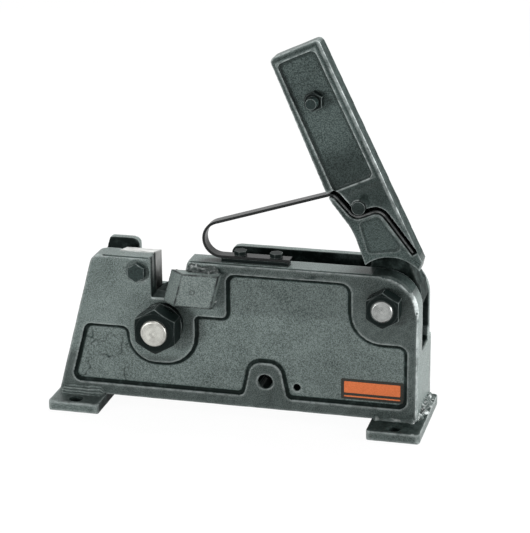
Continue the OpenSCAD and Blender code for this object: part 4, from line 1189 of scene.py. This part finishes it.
def weld_bead(name, start, end, sides, size_mm, seed, finish, lump, lump_mm, passes=0, swell=0.0):
    """A bead from start to end, filling the corner between the two directions in sides."""
    run = end - start
    run_mm = run.length / MM
    stations = int(run_mm * STATIONS_PER_MM)
    a, b = Vector(sides[0]), Vector(sides[1])
    low, high = Vector(cad_box[0]), Vector(cad_box[1])
    verts, valley_shade, crest_highlights = [], [], []
    for i in range(stations + 1):
        t = i / stations
        along = start + run * t
        near_end = min(t, 1 - t)
        wander = noise.noise(Vector((seed, t * run_mm / WANDER_MM, WANDER_ROW)))
        taper = min(1.0, END_TAPER * near_end + END_SIZE)
        swollen = swell * float(fade(near_end, *END_SWELL))
        size = size_mm * MM * taper * (MEAN_SIZE + lump * wander + swollen)
        verts.append(along)
        valley_shade.append(0.0)
        crest_highlights.append(0.0)
        for k in range(SECTION_STEPS + 1):
            share = k / SECTION_STEPS
            turn_by = 0.5 * math.pi * share
            ridge_turn = 2 * math.pi * passes * (share + WANDER_SHIFT * wander)
            ridge = math.cos(ridge_turn) if passes else 0.0
            lump_place = (seed + turn_by * size_mm / lump_mm, t * run_mm / lump_mm, LUMP_ROW)
            bump = lump * noise.noise(Vector(lump_place))
            reach = size * (1.0 + bump + RIDGE_DEPTH * ridge) * (1.0 - SECTION_FLAT * math.sin(2 * turn_by))
            point = along + (a * math.cos(turn_by) + b * math.sin(turn_by)) * reach
            verts.append(Vector(max(l, min(h, p)) for l, h, p in zip(low, high, point)))
            valley_shade.append(max(0.0, -ridge, -VALLEY_GAIN * bump - VALLEY_START))
            crest_highlights.append(max(0.0, ridge - RIDGE_START, CREST_GAIN * bump - CREST_START))
    bead = new_piece(name, verts, tube_faces(stations + 1, SECTION_STEPS + 2), finish, WELD_SMOOTH_ANGLE)
    keep_value(bead.data, "cavity", VALLEY_SHADE * np.array(valley_shade))
    keep_value(bead.data, "edge", (EDGE_SHARE if finish == body_paint else 1.0) * np.array(crest_highlights))
    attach(bead, "frame")
    print(name, len(verts), "points")
    return bead


# %% [markdown]
# The foot at the blade end was welded in three neat passes and painted with the body. The other
# foot has a thin bead in front and a lumpy one at the end. The stop block is held by a short, rough
# bead on top and a smaller one at its lower right corner. Each bead is sunk a little in the metal.

# %% Welds of this cutter
FOOT_TOP, SINK, FOOT_END_X = 12.0, 0.6, 204.4
LINE = FOOT_TOP - SINK
STOP_WELD_DARKENING = 0.6
FORWARD, UPWARD, OUTWARD = (0, -1, 0), (0, 0, 1), (1, 0, 0)
left_bead = weld_bead("left_foot_weld", start=at(-208, SINK, LINE), end=at(-156, SINK, LINE),
                      sides=(FORWARD, UPWARD), size_mm=9.0, seed=1.0, finish=body_paint,
                      lump=0.12, lump_mm=7.0, passes=3)
weld_bead("right_foot_weld", start=at(156, SINK, LINE), end=at(203, SINK, LINE),
          sides=(FORWARD, UPWARD), size_mm=3.6, seed=4.0, finish=weld_paint,
          lump=0.25, lump_mm=6.0, swell=1.0)
weld_bead("end_foot_weld", start=at(FOOT_END_X, 5, LINE), end=at(FOOT_END_X, 81, LINE),
          sides=(OUTWARD, UPWARD), size_mm=7.5, seed=7.0, finish=weld_paint,
          lump=0.5, lump_mm=6.5)
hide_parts("foot_welds")
stop_top_bead = weld_bead("stop_top_weld", start=at(-54, SINK, 172), end=at(-17, SINK, 167),
                          sides=(FORWARD, UPWARD), size_mm=7.5, seed=11.0, finish=weld_paint,
                          lump=0.4, lump_mm=4.2)
weld_bead("stop_low_weld", start=at(-29, SINK, 126), end=at(-25, SINK, 139),
          sides=(OUTWARD, FORWARD), size_mm=5.0, seed=13.0, finish=weld_paint,
          lump=0.4, lump_mm=4.0)
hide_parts("stop_block_welds")
# The top bead on the stop block is made darker, which also dims its painted crest highlights.
stop_weld_mesh = stop_top_bead.data
keep_value(stop_weld_mesh, "shade_and_dirt", np.full(len(stop_weld_mesh.vertices), STOP_WELD_DARKENING))
keep_value(stop_weld_mesh, "edge", (1 - STOP_WELD_DARKENING) * kept(stop_weld_mesh, "edge"))

# %% [markdown]
# A small dark plate sits in the recess near the lever end, with a plain orange field and a thin
# line on it. All three are thin sheets with rounded corners. The field and the line stand a little
# in front of the plate, so that no two faces share a plane.

# %% Plain plate
CORNER_STEPS = 4
PLATE_Y, PLATE_FRONT, PLATE_BACK = 3.5, 0.5, 0.6
PRINT_FRONT, PRINT_BACK = 0.56, 0.3
PLATE_BOX, FIELD_BOX, LINE_BOX = (119, 32, 189, 56), (122.5, 39.5, 185.5, 53), (122.5, 34.8, 185.5, 36.4)


def rounded_plate(name, box, y_front, y_back, corner, finish):
    x0, z0, x1, z1 = box
    outline = []
    for cx, cz, first in ((x1 - corner, z1 - corner, 0), (x0 + corner, z1 - corner, 90),
                          (x0 + corner, z0 + corner, 180), (x1 - corner, z0 + corner, 270)):
        outline += [polar((cx, cz), corner, first + 90 * k / CORNER_STEPS) for k in range(CORNER_STEPS + 1)]
    count = len(outline)
    verts = [at(p[0], y_front, p[1]) for p in outline] + [at(p[0], y_back, p[1]) for p in outline]
    faces = [tuple(range(count)), tuple(range(2 * count - 1, count - 1, -1))]
    faces += [(k, (k + 1) % count, count + (k + 1) % count, count + k) for k in range(count)]
    piece = new_piece(name, verts, faces, finish)
    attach(piece, "frame")
    print(name, len(faces), "faces")


plate_black = painted("plate_black_lacquer", paint=rgb(0.030, 0.030, 0.024),
                      shade=rgb(0.018, 0.018, 0.014), edge_wear_and_highlight=rgb(0.1, 0.1, 0.1), amount=0.2,
                      roughness=0.42, pit_scale=900.0, depth_mm=0.05, sheen_level=0.2)
plate_orange = painted("plate_orange_print", paint=rgb(0.66, 0.165, 0.050),
                       shade=rgb(0.52, 0.120, 0.032), edge_wear_and_highlight=rgb(0.8, 0.3, 0.15), amount=0.2,
                       roughness=0.45, pit_scale=900.0, depth_mm=0.04, sheen_level=0.3)
plate_depth = (PLATE_Y - PLATE_FRONT, PLATE_Y + PLATE_BACK)
print_depth = (PLATE_Y - PRINT_FRONT, PLATE_Y - PRINT_BACK)
rounded_plate("plain_plate", PLATE_BOX, *plate_depth, corner=1.5, finish=plate_black)
rounded_plate("plate_field", FIELD_BOX, *print_depth, corner=1.0, finish=plate_orange)
rounded_plate("plate_line", LINE_BOX, *print_depth, corner=0.5, finish=plate_orange)

# %% [markdown]
# The studio is a white room. The camera and the mirrors of the object see the world as white, while
# for plain light it is much weaker. A white background then costs no extra light, and the lamps are
# left to model the forms.

# %% White world
WHITE = rgb(1, 1, 1)
SEEN_SKY, LIGHTING_SKY = 1.0, 0.4


def looked_at(tree):
    """One where the camera, a mirror or a clear piece looks, and nothing for plain light."""
    ray = add(tree, "ShaderNodeLightPath")
    mirrored = calc(tree, "MAXIMUM", ray.outputs["Is Glossy Ray"], ray.outputs["Is Transmission Ray"])
    return calc(tree, "MAXIMUM", ray.outputs["Is Camera Ray"], mirrored)


def mix_shaders(tree, factor, plain_shader, seen_shader, output):
    pick = add(tree, "ShaderNodeMixShader")
    for socket, source in zip(pick.inputs, (factor, plain_shader.outputs[0], seen_shader.outputs[0])):
        tree.links.new(source, socket)
    tree.links.new(pick.outputs[0], output.inputs["Surface"])


world = bpy.data.worlds.new("studio_world")
scene.world = world
world.use_nodes = True
sky = world.node_tree
sky.nodes.clear()
white_sky = add(sky, "ShaderNodeBackground", Color=WHITE, Strength=SEEN_SKY)
soft_sky = add(sky, "ShaderNodeBackground", Color=WHITE, Strength=LIGHTING_SKY)
mix_shaders(sky, looked_at(sky), soft_sky, white_sky, add(sky, "ShaderNodeOutputWorld"))
print("world: seen", SEEN_SKY, "and lighting", LIGHTING_SKY)

# %% [markdown]
# The floor is seen in the same way, but it stays a little short of white, which keeps the object's
# shadow. It lies a hair below the feet, so that no two faces share a plane.

# %% Pale floor
FLOOR_GREY, FLOOR_ROUGHNESS, FLOOR_GLOW, FLOOR_WHITE = 0.86, 0.9, 1.03, 0.93
FLOOR_HALF, FLOOR_Z = 6.0, -0.0004
FLOOR_SIGNS = ((-1, -1), (1, -1), (1, 1), (-1, 1))
floor_finish, floor_tree, floor_shader = blank_material("pale_floor")
floor_shader.inputs["Base Color"].default_value = rgb(FLOOR_GREY, FLOOR_GREY, FLOOR_GREY)
floor_shader.inputs["Roughness"].default_value = FLOOR_ROUGHNESS
floor_white = add(floor_tree, "ShaderNodeEmission", Color=WHITE, Strength=FLOOR_GLOW)
floor_seen = calc(floor_tree, "MULTIPLY", looked_at(floor_tree), FLOOR_WHITE)
mix_shaders(floor_tree, floor_seen, floor_shader, floor_white, floor_tree.nodes["Material Output"])
floor_corners = [Vector((FLOOR_HALF * sx, FLOOR_HALF * sy, FLOOR_Z)) for sx, sy in FLOOR_SIGNS]
new_piece("studio_floor", floor_corners, [(0, 1, 2, 3)], floor_finish)
print("floor:", 2 * FLOOR_HALF, "m wide")

# %% [markdown]
# Three soft lamps model the forms. One stands low at the front left and lights the front evenly, a
# large one hangs behind and above and brightens the tops, and one at the right makes the end face
# the brightest side. Round lamps of 40 centimetres or more across give soft shadows.

# %% Lamps
AIM = Vector((0.0, 0.06, 0.18))


def soft_lamp(name, position, size, watts):
    lamp_data = bpy.data.lights.new(name, "AREA")
    lamp_data.shape = "DISK"
    lamp_data.size = size
    lamp_data.energy = watts
    lamp = bpy.data.objects.new(name, lamp_data)
    scene.collection.objects.link(lamp)
    lamp.location = position
    lamp.rotation_euler = (AIM - Vector(position)).to_track_quat("-Z", "Y").to_euler()
    print(name, watts, "W")


soft_lamp("front_left_lamp", position=(-1.3, -1.85, 0.4), size=0.4, watts=27)
soft_lamp("top_lamp", position=(0.25, 0.9, 2.0), size=1.0, watts=46)
soft_lamp("right_lamp", position=(2.0, 0.1, 0.5), size=0.8, watts=38)
scene.view_settings.view_transform = "Standard"
